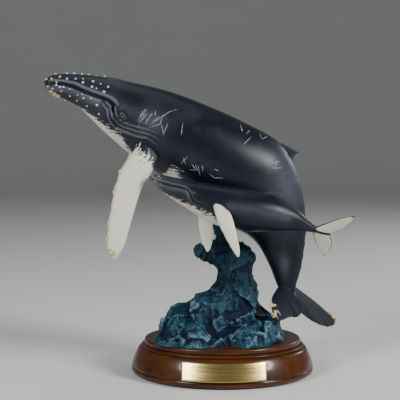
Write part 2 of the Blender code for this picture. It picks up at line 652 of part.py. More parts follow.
def make_calf(adult, adult_room):
    body = new_object("calf_body", loft(body_rings(CALF_ROWS, CALF_RINGS, CALF_SIDES)), "whale_paint")
    fin = new_object("calf_fin", loft(blade_rings(CALF_FIN_ROWS, BLADE_RINGS // 2, BLADE_SIDES)))
    boolean(body, fin, "UNION")
    cut(adult_room, body)
    room = new_object("calf_room", loft(body_rings(CALF_ROWS, CALF_RINGS, CALF_SIDES, FIT_GAP)))
    for side, rows in (("left", CALF_LEFT_FLIPPER_ROWS), ("right", CALF_RIGHT_FLIPPER_ROWS)):
        flipper = new_object(
            f"calf_{side}_flipper", loft(blade_rings(rows, BLADE_RINGS, BLADE_SIDES)), "cream_paint"
        )
        cut(room, flipper)
        dowel(f"calf_{side}_flipper_dowel", CALF_DOWEL, *root_of(rows), flipper, body)
    left = lobe_rows(CALF_LOBE, CALF_FLUKE_END, CALF_FLUKE_BACK, CALF_FLUKE_LEFT)
    right = lobe_rows(CALF_LOBE, CALF_FLUKE_END, CALF_FLUKE_BACK, CALF_FLUKE_RIGHT)
    rows = right[::-1] + left[1:]
    flukes = new_object("calf_flukes", loft(blade_rings(rows, 2 * BLADE_RINGS, BLADE_SIDES)), "cream_paint")
    cut(room, flukes)
    dowel("calf_fluke_dowel", CALF_FLUKE_DOWEL, on_plinth(CALF_FLUKE_END), CALF_FLUKE_BACK, flukes, body)
    for number, place in enumerate(CALF_PIN_PLACES, start=1):
        dowel(f"calf_pin_{number}", CALF_PIN, on_plinth(place), CALF_PIN_WAY, body, adult)
    return room


def main():
    for obj in list(bpy.data.objects):
        bpy.data.objects.remove(obj)
    make_felt()
    plinth = make_plinth()
    make_plate()
    rock = make_rock()
    make_fixings(plinth, rock)
    adult, adult_room = make_adult()
    calf_room = make_calf(adult, adult_room)
    cut(adult_room, rock)
    cut(calf_room, rock)
    make_rod(rock, adult)
    level_foot(rock)


main()
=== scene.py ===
"""Looks of a whale and calf statuette: hand-painted resin whales above a dry-brushed rock, on a lacquered
oval plinth with a brass plate.

Sizes here are in millimetres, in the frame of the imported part, and MM turns them into metres. The rows of
the whales, their fins and the rock repeat those that the solids are made from, apart from two fuller lumps
of the rock, so each skin lies on its solid. Marks that are placed by a pixel of the photograph are cast from
the camera onto the skin.
"""

import math
import random

import bmesh
import bpy
import numpy as np
from mathutils import Matrix, Vector
from mathutils.bvhtree import BVHTree


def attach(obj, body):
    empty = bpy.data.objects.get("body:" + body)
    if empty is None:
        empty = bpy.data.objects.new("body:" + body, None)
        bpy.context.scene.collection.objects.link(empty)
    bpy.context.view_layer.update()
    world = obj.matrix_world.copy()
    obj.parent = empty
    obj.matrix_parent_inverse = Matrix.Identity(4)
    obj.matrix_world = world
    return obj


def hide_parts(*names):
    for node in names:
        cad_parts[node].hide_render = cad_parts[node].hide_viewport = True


bl_info = {
    "name": "Whale and calf statuette",
    "version": (1, 0, 0),
    "blender": (4, 5, 0),
    "location": "View3D > Sidebar > Statuette",
    "description": "Builds the painted skins, rock, plinth, plate and stage of a whale statuette",
    "category": "Object",
}

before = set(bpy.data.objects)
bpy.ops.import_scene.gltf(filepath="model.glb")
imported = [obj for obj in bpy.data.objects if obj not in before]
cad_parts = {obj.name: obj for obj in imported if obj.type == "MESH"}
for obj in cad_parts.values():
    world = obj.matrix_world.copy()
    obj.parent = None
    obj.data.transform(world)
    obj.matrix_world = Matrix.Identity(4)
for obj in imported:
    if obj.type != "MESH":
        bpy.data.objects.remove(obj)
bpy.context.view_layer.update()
MM = 0.001

# The photograph's camera
CAMERA_PLACE = (-22.5, -1000.0, 237.5)
CAMERA_PITCH = math.radians(3.66)  # below level
CAMERA_LENS = 90.0
CAMERA_SENSOR = 36.0
PICTURE = 400.0  # pixels across
FOCAL_PIXELS = PICTURE * CAMERA_LENS / CAMERA_SENSOR

# Bodies: back (x, z), belly (x, z), half width, y of the middle, turn in degrees, from snout to tail
ADULT_ROWS = (
    (-180.0, 292.0, -180.0, 290.0, 0.8, 18.0, 0.0),
    (-176.5, 296.5, -178.5, 286.0, 5.5, 18.0, 0.0),
    (-165.5, 300.0, -171.5, 280.5, 10.5, 18.0, 0.0),
    (-135.0, 299.0, -146.0, 267.0, 17.5, 18.0, 0.0),
    (-103.0, 294.0, -120.5, 242.5, 25.5, 18.0, 0.0),
    (-57.0, 283.5, -88.0, 215.0, 34.5, 18.0, 0.0),
    (-17.0, 269.0, -54.0, 192.0, 39.0, 18.0, 0.0),
    (23.0, 251.0, -17.5, 167.0, 40.0, 18.0, 0.0),
    (60.0, 229.0, 11.0, 145.0, 34.0, 18.0, 0.0),
    (78.0, 195.0, 27.0, 136.0, 23.0, 17.0, 0.0),
    (85.0, 150.0, 38.0, 124.5, 13.0, 15.0, -8.0),
    (81.5, 109.0, 48.0, 104.5, 8.0, 12.0, -20.0),
    (75.5, 84.0, 56.5, 83.0, 5.0, 10.0, -32.0),
)
CALF_ROWS = (
    (-72.5, 197.6, -72.5, 196.6, 0.6, -30.0, 0.0),
    (-70.0, 199.8, -70.5, 194.0, 4.2, -30.0, 2.0),
    (-63.0, 200.6, -65.0, 189.0, 7.6, -30.0, 4.0),
    (-50.0, 198.0, -55.5, 181.0, 11.0, -30.0, 6.0),
    (-29.0, 194.0, -37.0, 168.5, 16.0, -30.0, 8.0),
    (-2.0, 190.0, -9.5, 152.0, 20.5, -30.0, 8.0),
    (25.0, 185.5, 21.0, 144.8, 21.5, -30.0, 8.0),
    (50.5, 179.0, 48.5, 145.0, 17.0, -30.0, 8.0),
    (70.5, 168.0, 67.5, 146.0, 10.0, -30.0, 12.0),
    (84.0, 155.5, 82.0, 144.5, 5.2, -29.0, 24.0),
    (92.5, 148.5, 91.5, 143.0, 2.6, -28.0, 38.0),
)

FINE_STEPS = 1500  # for measuring along a curve

# Rings and sides of the fine skins
ADULT_GRID = (470, 204)
CALF_GRID = (340, 150)
ADULT_FIN_GRID = (60, 40)
CALF_FIN_GRID = (40, 32)
FLIPPER_GRID = (150, 72)
FLUKE_GRID = (220, 64)
BARNACLE_GRID = (120, 48)  # of the blades that barnacles are set on
BELLY_GRID = (120, 72)  # of the belly that the rock is kept below

# Fins and flippers: leading edge, trailing edge and thickness, from root to tip
ADULT_FIN_ROWS = (
    ((38.0, 18.0, 232.0), (64.0, 18.0, 203.0), 9.0),
    ((52.0, 18.0, 232.5), (70.5, 18.0, 210.0), 6.0),
    ((67.0, 18.0, 227.0), (73.5, 18.0, 217.5), 3.4),
    ((76.5, 18.0, 221.8), (78.0, 18.0, 220.6), 1.2),
)
CALF_FIN_ROWS = (
    ((32.0, -30.0, 180.0), (47.0, -30.0, 174.0), 4.4),
    ((41.0, -31.0, 182.8), (51.0, -31.0, 177.4), 2.6),
    ((51.5, -31.5, 183.4), (53.5, -31.5, 181.6), 0.9),
)
ADULT_LEFT_FLIPPER_ROWS = (
    ((-85.0, 4.0, 241.0), (-58.0, 4.0, 231.0), 13.0),
    ((-87.0, -11.0, 225.0), (-64.0, -11.0, 214.5), 12.5),
    ((-97.5, -20.0, 209.0), (-70.5, -20.0, 201.0), 11.5),
    ((-104.5, -25.0, 190.0), (-79.0, -25.0, 187.0), 10.0),
    ((-108.0, -30.0, 171.0), (-86.0, -30.0, 166.0), 8.5),
    ((-111.5, -35.0, 148.0), (-91.5, -35.0, 146.0), 7.0),
    ((-112.0, -38.0, 131.0), (-96.0, -38.0, 131.0), 5.0),
    ((-108.0, -39.0, 122.5), (-102.0, -39.0, 121.5), 2.6),
)
ADULT_RIGHT_FLIPPER_ROWS = (
    ((-93.0, 34.0, 238.0), (-67.0, 34.0, 228.0), 13.0),
    ((-88.0, 52.0, 230.0), (-63.0, 50.0, 218.0), 12.5),
    ((-81.0, 68.0, 226.0), (-54.0, 62.0, 211.0), 11.5),
    ((-70.0, 84.0, 220.0), (-45.0, 76.0, 205.0), 10.0),
    ((-58.0, 99.0, 213.0), (-36.0, 91.0, 199.0), 8.5),
    ((-46.0, 113.0, 205.0), (-26.0, 106.0, 192.0), 7.0),
    ((-36.0, 122.0, 198.0), (-20.0, 117.0, 187.0), 5.0),
    ((-28.0, 127.0, 192.0), (-22.5, 125.0, 188.0), 2.6),
)
CALF_LEFT_FLIPPER_ROWS = (
    ((-11.0, -38.0, 180.0), (0.0, -38.0, 180.0), 6.0),
    ((-10.0, -48.0, 172.0), (0.5, -48.0, 170.5), 5.8),
    ((-8.0, -55.0, 164.5), (6.5, -55.0, 164.0), 5.4),
    ((-4.5, -59.0, 154.5), (9.8, -59.0, 154.5), 4.6),
    ((2.5, -62.0, 140.5), (13.0, -62.0, 141.0), 3.6),
    ((8.5, -63.5, 130.0), (15.0, -63.5, 130.5), 2.6),
    ((12.0, -64.0, 125.0), (14.5, -64.0, 125.0), 1.5),
)
CALF_RIGHT_FLIPPER_ROWS = (
    ((-24.0, -25.0, 166.0), (-9.0, -25.0, 164.0), 6.0),
    ((-24.0, -21.0, 156.0), (-10.0, -21.0, 150.0), 5.4),
    ((-23.0, -19.5, 145.0), (-9.5, -19.5, 141.0), 4.6),
    ((-20.5, -18.5, 134.0), (-10.5, -18.5, 132.0), 3.4),
    ((-17.5, -18.0, 127.0), (-12.5, -18.0, 126.0), 2.4),
    ((-16.0, -18.0, 124.5), (-14.0, -18.0, 124.2), 1.4),
)

# Flippers: node, rows, height of the knobs on the leading edge, share of the length that is dark
FLIPPERS = (
    ("adult_left_flipper", ADULT_LEFT_FLIPPER_ROWS, 0.7, 0.175),
    ("adult_right_flipper", ADULT_RIGHT_FLIPPER_ROWS, 0.7, 0.19),
    ("calf_left_flipper", CALF_LEFT_FLIPPER_ROWS, 0.35, 0.17),
    ("calf_right_flipper", CALF_RIGHT_FLIPPER_ROWS, 0.35, 0.04),
)
KNOBS = 9.0  # along a flipper
KNOB_SEED = 3
KNOB_CHORD = (0.0, 0.22)  # shares of the chord over which they fade
KNOB_START = (0.22, 0.35)  # shares of the length over which they begin
KNOB_WEAR = 0.55  # grey between them
NOTCHES = 13.0  # along its trailing edge
NOTCH_SEED = 5
NOTCH_CHORD = (0.86, 1.0)
NOTCH_START = (0.3, 0.5)
NOTCH_SHARE = 0.3  # of the knobs' height
SHOULDER_SLANT = 0.09
SHOULDER_FADE = (0.12, 0.14)  # shares of the length before and after the edge of the dark shoulder

# Ragged trailing edge and paint of the flukes, places in shares of the chord unless said otherwise
FINE_BITES, FINE_BITE_SEED = 23.0, 9
WIDE_BITES, WIDE_BITE_SEED = 7.0, 4
BITE_CHORD = (0.94, 1.0)
FLUKE_CREAM = 0.9
FLUKE_CREAM_START = (0.03, 0.07)  # shares of the span, away from the tail
FLUKE_CREAM_END = (0.44, 0.49)
FLUKE_LEAD_FADE = 0.08
FLUKE_TRAIL_FADE = (0.92, 0.97)
FLUKE_BELOW_FADE = 0.05  # from the edges towards the underside
FLUKE_WEAR = 0.7
FLUKE_WORN_CHORD = (0.95, 1.0)
FLUKE_GREY = (0.15, 0.85)  # everywhere, and added towards the trailing edge
FLUKE_GREY_CHORD = (0.45, 0.95)

# Blades: fullness at the leading edge and its loss across the chord, and the rounding of a tip
BLADE_FULL, BLADE_THINNING = 1.25, 0.6
TIP_REACH = 0.45  # share of the chord
TIP_RINGS = 7
TIP_TURN = 0.97  # share of a quarter turn

# Uneven bumps: octaves, how much finer and lower each is than the last, and the height of them all
WAVE_OCTAVES = 3
WAVE_FINER, WAVE_LOWER = 1.7, 1.6
WAVE_HEIGHT = 0.35

# Flukes: how far out, leading edge and trailing edge back from the end of the tail, thickness
ADULT_RIGHT_LOBE = (
    (0.0, -6.0, 33.0, 9.0),
    (7.0, -3.0, 40.0, 7.6),
    (22.0, 9.0, 50.0, 4.6),
    (38.0, 23.0, 54.0, 3.2),
    (50.0, 37.0, 54.0, 2.2),
    (57.0, 47.0, 50.0, 1.4),
)
ADULT_LEFT_LOBE = (
    (0.0, -6.0, 33.0, 9.0),
    (7.0, -3.0, 35.0, 7.6),
    (18.0, 2.0, 33.0, 5.0),
    (28.0, 7.5, 32.5, 3.6),
    (35.0, 15.0, 33.0, 2.6),
    (40.0, 29.0, 32.0, 1.4),
)
CALF_LOBE = (
    (0.0, -3.2, 16.0, 4.8),
    (3.7, -1.6, 18.0, 4.0),
    (12.0, 4.5, 24.0, 2.5),
    (20.5, 11.3, 26.3, 1.8),
    (27.0, 18.5, 26.5, 1.3),
    (31.0, 24.0, 25.7, 0.8),
)
ADULT_FLUKE_END = (65.0, 10.0, 86.0)
ADULT_FLUKE_BACK = (0.47, -0.30, -0.83)
ADULT_FLUKE_LEFT = (-0.69, -0.72, -0.10)
ADULT_FLUKE_RIGHT = (0.545, 0.838, -0.027)
CALF_FLUKE_END = (90.5, -28.5, 146.3)
CALF_FLUKE_BACK = (0.927, 0.247, -0.281)
CALF_FLUKE_LEFT = (0.37, -0.64, 0.67)
CALF_FLUKE_RIGHT = (-0.37, 0.64, -0.67)
ADULT_BORDER, CALF_BORDER = 0.22, 0.0  # dark border of the cream underside, in shares of the chord
ADULT_BITE, CALF_BITE = 1.8, 0.9  # depth of the ragged trailing edge

# Rock lumps: middle, half sizes, turn about Z in degrees. The first, a skirt, and the ledge at height 119.5
# are fuller than in the solid, so that they keep their outline when the joined skin is shrunk
ROCK_LUMPS = (
    ((-5.0, -4.0, 26.0), (77.0, 57.0, 19.0), 0.0),
    ((-20.0, 26.0, 44.0), (38.0, 26.0, 22.0), 10.0),
    ((22.0, 28.0, 42.0), (32.0, 24.0, 20.0), -15.0),
    ((-25.0, -38.0, 37.0), (24.0, 25.0, 15.0), 8.0),
    ((-33.0, -12.0, 42.0), (31.0, 38.0, 23.0), 12.0),
    ((-40.0, 6.0, 50.0), (20.0, 26.0, 17.0), -20.0),
    ((34.0, -14.0, 40.0), (28.0, 34.0, 15.0), -15.0),
    ((44.0, 12.0, 42.0), (18.0, 28.0, 18.0), 25.0),
    ((-14.0, -4.0, 62.0), (27.0, 28.0, 23.0), 30.0),
    ((8.0, 6.0, 66.0), (28.0, 26.0, 34.0), 10.0),
    ((20.0, 6.0, 66.0), (18.0, 22.0, 34.0), -25.0),
    ((14.0, 8.0, 96.0), (21.0, 17.0, 22.0), 40.0),
    ((18.0, 6.0, 112.0), (18.0, 15.0, 16.0), 15.0),
    ((-13.0, 6.0, 119.5), (17.5, 12.0, 12.0), -12.0),
    ((6.0, 9.0, 127.0), (17.0, 13.0, 14.0), 20.0),
    ((2.0, 13.0, 148.0), (11.0, 10.0, 22.0), 35.0),
    ((8.0, 14.0, 106.0), (16.0, 14.0, 22.0), 0.0),
    ((27.0, -37.0, 37.0), (23.0, 25.0, 16.0), -8.0),
    ((-48.0, -30.0, 35.0), (24.0, 24.0, 10.0), -25.0),
)
ROCK_ROUGHNESS = 0.16
ROCK_FILLET = 9.0  # radius that fills the clefts between lumps
ROCK_SKIRT = 9.0  # height of the smoother skirt round the foot
ROCK_SHADE_FROM, ROCK_SHADE_TO = 62.0, 96.0  # heights between which the rock is painted darker and darker, as painted shade under the whales
ROCK_VOXEL, ROCK_FINE_VOXEL = 1.5, 1.05
SHRINK_STEPS = 4
ROCK_SOFTENING = 3  # rounds of smoothing at each step
ROCK_SEED = 7
FACET_SCALE, CHIP_SCALE = 0.042, 0.13  # chips for each millimetre
FACET_UPRIGHT = 0.8  # of that going up, so chips are taller than they are wide
CHIP_SHARE = 0.4  # depth of the small chips beside the large ones
HOLLOW_SEED = 5
HOLLOW_START = 0.4  # rays set off so far above the rock
BELLY_FROM = 130.0  # height above which the rock can reach the belly

# Marks on the adult, in pixels of the photograph
ADULT_LIP = (
    (50, 80.5), (63.8, 81.3), (75.2, 83.6), (85, 88.2), (94.9, 92.0), (103.6, 94.8), (111.3, 98),
    (115.8, 101.4), (117.4, 105),
)
ADULT_MOUTH = (
    (47, 84), (56, 83.2), (64.2, 84), (74, 86.8), (84, 91.6), (95, 95.6), (103.6, 98.5), (110.2, 102),
    (113, 106), (112.8, 111),
)
ADULT_FOLDS = (
    (
        (115, 107), (115.2, 113), (117.8, 120), (123.3, 123.3), (134.3, 126.5), (147.4, 129.8),
        (160.5, 135.3),
    ),
    (
        (105.8, 101.4), (110.2, 106.8), (111.3, 113.4), (113.5, 118.5), (119, 124.8), (125.5, 127.8),
        (136.4, 131.4), (147.4, 134), (156, 138), (163.8, 144),
    ),
    (
        (103.2, 104.4), (107.6, 109.6), (108, 116), (110.8, 122.6), (117.2, 129.4), (125.5, 132.6),
        (136.4, 136.4), (147.4, 138.6), (157.2, 145), (163.9, 152),
    ),
)
ADULT_EYE = (122.2, 117.1)
ADULT_HEAD = (ADULT_LIP, ADULT_MOUTH, ADULT_FOLDS, ADULT_EYE)
ADULT_EYE_RADIUS = 2.3
EYE_SINK = 0.55  # share of the radius
ADULT_LID_SIZE = 1.0
ADULT_MOUTH_SIZE = 1.0
ADULT_FOLD_SIZE = (1.1, 1.15)  # height and width
ADULT_PLEAT_SPAN = (-170.0, 20.0)  # along x
PLEAT_TOP = 0.60  # share of the way round from back to belly where the pleats begin
PLEAT_FADE_IN, PLEAT_FADE_OUT = 18.0, 45.0  # lengths over which they deepen and fade
PLEAT_FADE_UP = 0.06  # share of the way round
BLOWHOLE = (-109.0, 18.0, 296.0)  # in millimetres, on the middle of the back
BLOWHOLE_HEIGHT = 1.3
BLOWHOLE_WIDTH = 8.0

# Forms of a head of size 1: heights, widths and distances from the line of the mouth, the eye or a fold
MOUTH_WIDTH = 1.2
LIP_HEIGHT, LIP_WIDTH = 1.7, 1.5
JAW_HEIGHT, JAW_WIDTH, JAW_BELOW = 0.9, 4.0, 5.0
LID_HEIGHT, LID_WIDTH, LID_RADIUS = 0.8, 0.8, 3.2
EYE_FURROW_DEPTH, EYE_FURROW_WIDTH, EYE_FURROW_RADIUS = 0.6, 0.7, 4.8
FOLD_FURROW_DEPTH, FOLD_FURROW_WIDTH, FOLD_FURROW_AWAY = 0.7, 0.8, 2.1
FOLD_FADE = 22.0

# Knuckles along the hind back: sizes, and the distances from the snout over which they begin and end
KNUCKLE_SPACING = 9.0
KNUCKLE_HEIGHT = 0.55
KNUCKLE_WIDTH = 0.05  # share of the way round
KNUCKLE_START = (270.0, 300.0)
KNUCKLE_END = (330.0, 350.0)

# Upper border of the cream throat: place along x and share of the way round from back to belly
# From -68 to -46 the border lies below the belly, so the cream under the flipper's armpit is painted dark, as
# painted shade.
ADULT_THROAT = (
    (-178, 1.25), (-150, 1.08), (-138, 0.90), (-123, 0.80), (-108, 0.77), (-92, 0.76), (-80, 0.86),
    (-68, 1.02), (-56, 1.08), (-46, 0.98), (-40, 0.77), (-32, 0.74), (-22, 0.82), (-10, 0.98), (10, 1.25),
)
ADULT_THROAT_SLOPE = 3.2  # how sharp the border is
ADULT_TEAR = (0.13, 0.62, 1.0)  # how finely the border is torn, along the body and round it
NO_CREAM = -2.0
ADULT_SNOUT = (-172.0, -148.0)  # the speckles fade between these places along x
ADULT_SPECKLE = 0.44

# Patches of grey on the adult: pixel, scale along each axis, radius, strength. The jaw and the scuffed patch
# by the scratches are brushed grey; the hind flank and the tail by the flukes are painted highlights
ADULT_GREY_AND_HIGHLIGHTS = (
    ((291, 182), (1.0, 0.7, 0.6), 24.0, 0.6),
    ((92, 100), (1.0, 1.0, 1.0), 26.0, 0.2),
    ((152, 122), (1.0, 1.0, 1.0), 13.0, 0.55),
    ((284, 264), (1.0, 1.0, 0.45), 5.0, 0.7),
)
ADULT_FIN_GREY = 0.3
ADULT_WEAR_AND_SHADE, ADULT_WEAR_AND_SHADE_RANGE = 0.75, (-0.6, 1.0)  # grey for each millimetre of relief: dry-brushed wear on the crests, painted shade taking grey away in the grooves
ADULT_MOST_GREY = 1.3

# Tubercles, scratches, streaks and barnacles on the adult, their places in pixels
TUBERCLE_SPREAD = 0.9
BARNACLE_SIZE = 1.3
BARNACLE_SPREAD = 0.9
FAR_SCAR_SHIFT = (9.0, -6.0)  # the right flank's scratches lie so far off along x and z, in millimetres
ADULT_TUBERCLES = (
    (46.6, 79.6), (48, 86.5), (55.5, 73.4), (67, 73), (74, 73.6), (82, 74), (88.5, 75), (96, 76),
    (104.6, 76.4), (60, 77), (67, 79), (75.6, 79), (83, 79), (83, 82.5), (93, 81.6), (100.6, 84),
    (108, 87), (92, 87), (96.5, 88.5), (104, 92), (56.6, 82), (56.4, 85), (60, 87), (63.5, 87),
    (61.5, 91), (70, 89), (70, 96), (77.6, 95), (77, 100.6), (83.6, 98), (82, 94), (87, 106), (97, 105),
    (99, 114), (51.5, 79), (52.5, 88.5), (65, 100), (91, 98.5),
)
ADULT_SCARS = (
    ((137, 124), (143, 110)), ((138, 127), (147, 108)), ((141, 122), (148, 112)),
    ((145, 124), (152, 113)), ((150, 125), (160, 118), (169, 112), (178, 109)),
    ((155, 117), (155.5, 110)), ((152, 122), (160, 116)), ((149, 128), (160, 124), (163, 115)),
    ((147, 120), (153, 112.5)), ((140, 118), (146, 108)), ((161, 123), (164, 136)),
    ((168, 123), (163.5, 134)), ((181, 136), (183, 122)), ((243, 145), (252, 136)),
    ((246, 134), (250, 130)), ((241, 127), (242, 131)), ((259, 132), (262, 139), (268, 136)),
    ((240, 124), (243, 132)), ((272, 163), (281, 161)), ((271, 168), (283, 168)),
    ((277, 161), (275, 170)), ((180, 165), (188, 156)), ((183, 157), (186, 165)),
    ((189, 170), (197, 170)), ((191, 163), (196, 170)), ((198, 165), (200, 176)),
    ((202, 165), (203, 172)), ((209, 173), (214, 178), (224, 178)), ((214, 169), (219, 171)),
    ((195, 164), (198, 172)),
)
FLUKE_STREAK_WIDTH = 1.6  # times the width of a scratch
FLUKE_STREAKS = (
    ((273.6, 309.5), (278.4, 319.5)), ((276.6, 309.0), (281.0, 315.5)),
    ((271.8, 311.5), (274.5, 317.0)),
)
CHIN_BARNACLES = (
    (50.5, 91.5), (52.5, 93), (54.5, 94.4), (56.5, 95.6), (58.5, 96.6), (60.5, 97.6), (51.6, 91),
    (53.5, 92.4), (55.5, 93.7), (57.5, 94.8), (59.4, 95.6),
)

# Marks on the calf
CALF_LIP = (
    (153, 177.6), (160, 180.2), (170, 183), (179, 185), (186, 187), (190.5, 190.5), (192.5, 194),
)
CALF_MOUTH = (
    (152, 179.6), (160, 182.6), (170, 185.6), (179, 187.2), (186, 188.6), (190, 192.5), (190.5, 198),
)
CALF_FOLDS = (
    ((189, 190), (192, 196), (197, 201), (205, 203.5), (213, 205)),
    ((186, 190.5), (188.5, 197), (193, 203), (201, 207), (210, 209.5)),
)
CALF_EYE = (194.0, 192.6)
CALF_HEAD = (CALF_LIP, CALF_MOUTH, CALF_FOLDS, CALF_EYE)
CALF_EYE_RADIUS = 1.2
CALF_LID_SIZE = 0.45
CALF_MOUTH_SIZE = 0.5
CALF_MOUTH_SHARE = 0.4  # of the adult's depth
CALF_FOLD_SIZE = (0.45, 0.6)
CALF_PLEAT_SPAN = (-68.0, 25.0)
CALF_PLEATS = 11
CALF_PLEAT_SHARE = 0.55  # of the adult's depth
CALF_THROAT = (
    (-72, 1.25), (-58, 0.98), (-45, 0.84), (-30, 0.78), (-10, 0.75), (5, 0.81), (20, 0.95), (30, 1.25),
)
CALF_THROAT_SLOPE = 2.6
CALF_TEAR = (0.17, 0.85, 1.0)
CALF_SNOUT = (-68.0, -28.0)
CALF_SPECKLE = 0.49
CALF_FLANK_HIGHLIGHT = ((230, 206), (258, 211), (288, 218))  # where a painted highlight of grey runs along the calf's flank
CALF_FLANK_HIGHLIGHT_WIDTH = 4.5
CALF_FLANK_HIGHLIGHT_GREY = 0.4
CALF_FIN_GREY = 0.5
CALF_SNOUT_GREY = 0.3
# Grey for each millimetre of relief: dry-brushed wear on the crests, painted shade in the grooves
CALF_WEAR_AND_SHADE, CALF_WEAR_AND_SHADE_RANGE = 0.9, (-0.6, 0.8)
CALF_MOST_GREY = 1.2

# A bead of resin over the pins between calf and adult, in millimetres
CALF_BOND_START = (-11.0, -15.8, 182.4)
CALF_BOND_END = (53.0, -13.2, 173.0)
CALF_BOND_RADIUS = 4.5
CALF_BOND_SPAN = (0.02, 0.98)  # shares of the way from start to end
CALF_BOND_RINGS, CALF_BOND_SIDES = 40, 24
CALF_BOND_FULLNESS = 0.7  # power of the sine that swells it

# Clusters of barnacles on a blade: share of its length, share of its chord, how many, spread in millimetres
FLIPPER_CLUSTERS = (
    (0.21, 0.01, 22, 3.2), (0.34, 0.01, 13, 2.4), (0.48, 0.0, 13, 2.6), (0.68, 0.0, 13, 2.6),
    (0.80, 0.0, 12, 2.4), (0.95, 0.05, 20, 2.8), (0.985, 0.5, 24, 3.0),
)
FLUKE_CLUSTERS = (
    (0.01, 0.1, 14, 2.6), (0.04, 0.03, 14, 2.6), (0.07, 0.02, 12, 2.4), (0.955, 0.10, 24, 3.0),
    (0.90, 0.05, 28, 3.4),
)
BARNACLE_SEEDS = (21, 22, 23)  # left flipper, right flipper, flukes
STUD_SEED = 11
STROKE_STEP = 1.2  # millimetres between the rings of a stroke
STROKE_END = 0.35  # share of its width left at its ends
STROKE_SIDES = 8

# Heights and insets of the plinth, repeated from the solids
FELT_THICKNESS = 1.5
FIT_GAP = 0.3
PLINTH_LENGTH = 183.0
PLINTH_DEPTH = 160.0
PLINTH_HEIGHT = 33.5
PLINTH_TOP_INSET = 13.0
TOP_EDGE_HEIGHT = 5.0
FLANK_LOW = 6.5
FLANK_HIGH = 22.5
FLANK_LOW_INSET = 0.4
FLANK_HIGH_INSET = 6.3
FLANK_CROWN = 0.7
BEAD_HEIGHT = 2.6
BEAD_INSET = 10.0
GROOVE_DEPTH = 0.9
FOOT_INSET = 1.6
FELT_INSET = 3.5
PLATE_LENGTH = 80.0
PLATE_HEIGHT = 17.5
PLATE_THICKNESS = 1.0
TAPE_THICKNESS = 0.8
PLINTH_FOOT = FELT_THICKNESS + FIT_GAP
PLINTH_TOP = PLINTH_FOOT + PLINTH_HEIGHT
ROCK_FOOT = PLINTH_TOP + FIT_GAP

# How finely the plinth, plate and felt are cut, and how their edges are eased
PROFILE_STEPS = 130
PLINTH_SIDES = 240
FELT_SIDES = 200
PLATE_RINGS = 90
PLATE_FACE_ROWS = 13
PLATE_EASE = 0.4
PLATE_END_EASE = (0.35, 0.5)  # depth, and length along the plate
FELT_EASE = (0.5, 0.12, 0.2)  # inset of its faces, inset of its side, height between them
FELT_FACE = 20.0  # width of the faces that its edge is drawn with
PLINTH_SHARP, PLATE_SHARP = math.radians(50), math.radians(35)

# The tail fades into the flukes over these rows, past the end of the solid
ADULT_TAIL_ROWS = (
    (76.5, 74.9, 66.5, 73.9, 2.6, 5.8, -36.0),
    (78.5, 63.0, 76.5, 62.6, 0.5, 1.8, -38.0),
)
CALF_TAIL_ROWS = (
    (97.0, 146.4, 96.4, 143.4, 1.4, -26.8, 44.0),
    (101.5, 143.9, 101.3, 142.9, 0.4, -25.6, 48.0),
)

# The stage, in metres and watts
LIGHTS = (
    ("key", (1.4, -0.95, 1.05), 0.6, 34.0),
    ("fill", (-1.25, -1.25, 1.1), 0.7, 24.0),
    ("side", (1.35, 1.2, 0.8), 0.5, 6.0),
    ("top", (-0.1, 0.35, 1.9), 1.3, 4.0),
)
LIGHT_AIM = (0.0, 0.0, 0.17)
ROOM_COLOUR = (0.85, 0.88, 0.92, 1.0)
ROOM_STRENGTH = 0.10
FLOOR_FLAT = 3.2  # radius of the level floor
FLOOR_BEND = 2.4  # radius of the curve into the wall
WALL_HEIGHT = 5.0

STEEL_COLOUR = (0.58, 0.58, 0.60)
SOCKET_COLOUR = (0.80, 0.58, 0.22)
STEEL_NODES = (
    "support_rod", "rock_screw_1", "rock_screw_2", "rock_screw_3", "rock_washer_1", "rock_washer_2",
    "rock_washer_3", "adult_left_flipper_dowel", "adult_right_flipper_dowel", "adult_fluke_dowel",
    "calf_left_flipper_dowel", "calf_right_flipper_dowel", "calf_fluke_dowel", "calf_pin_1", "calf_pin_2",
)


def colour_setting(name, description, default):
    return bpy.props.FloatVectorProperty(
        name=name, description=description, subtype="COLOR", size=3, default=default, min=0.0, max=1.0
    )


def size_setting(name, description, default, least, most):
    return bpy.props.FloatProperty(
        name=name, description=f"{description}, in millimetres", default=default, min=least, max=most
    )


class WhalePaint(bpy.types.PropertyGroup):
    """Colours of the painted whales."""

    skin: colour_setting("Skin", "Blue-black of the back and flanks", (0.004, 0.007, 0.015))
    # Also the colour of the painted highlights on the flanks and tail
    sheen: colour_setting("Brushed grey", "Grey brushed over the flanks and folds", (0.10, 0.112, 0.14))
    cream: colour_setting("Cream", "Throat, flippers and undersides", (0.76, 0.74, 0.67))
    barnacle: colour_setting("Barnacle", "Ochre of the barnacles", (0.52, 0.35, 0.085))
    scar: colour_setting("Scar", "Pale grey of the scratches", (0.50, 0.53, 0.58))


class WhaleRelief(bpy.types.PropertyGroup):
    """Depths of the modelled skin."""

    pleats: bpy.props.IntProperty(
        name="Pleats", description="Pleats on each side of the throat", default=15, min=4, max=30
    )
    pleat_depth: size_setting("Pleat depth", "Depth of the throat pleats", 0.8, 0.0, 2.0)
    mouth_depth: size_setting("Mouth depth", "Depth of the line of the mouth", 1.9, 0.0, 4.0)
    tubercle_size: size_setting("Tubercle size", "Radius of a tubercle on the head", 1.15, 0.3, 3.0)
    scar_width: size_setting("Scar width", "Half width of a scratch", 0.33, 0.05, 1.0)


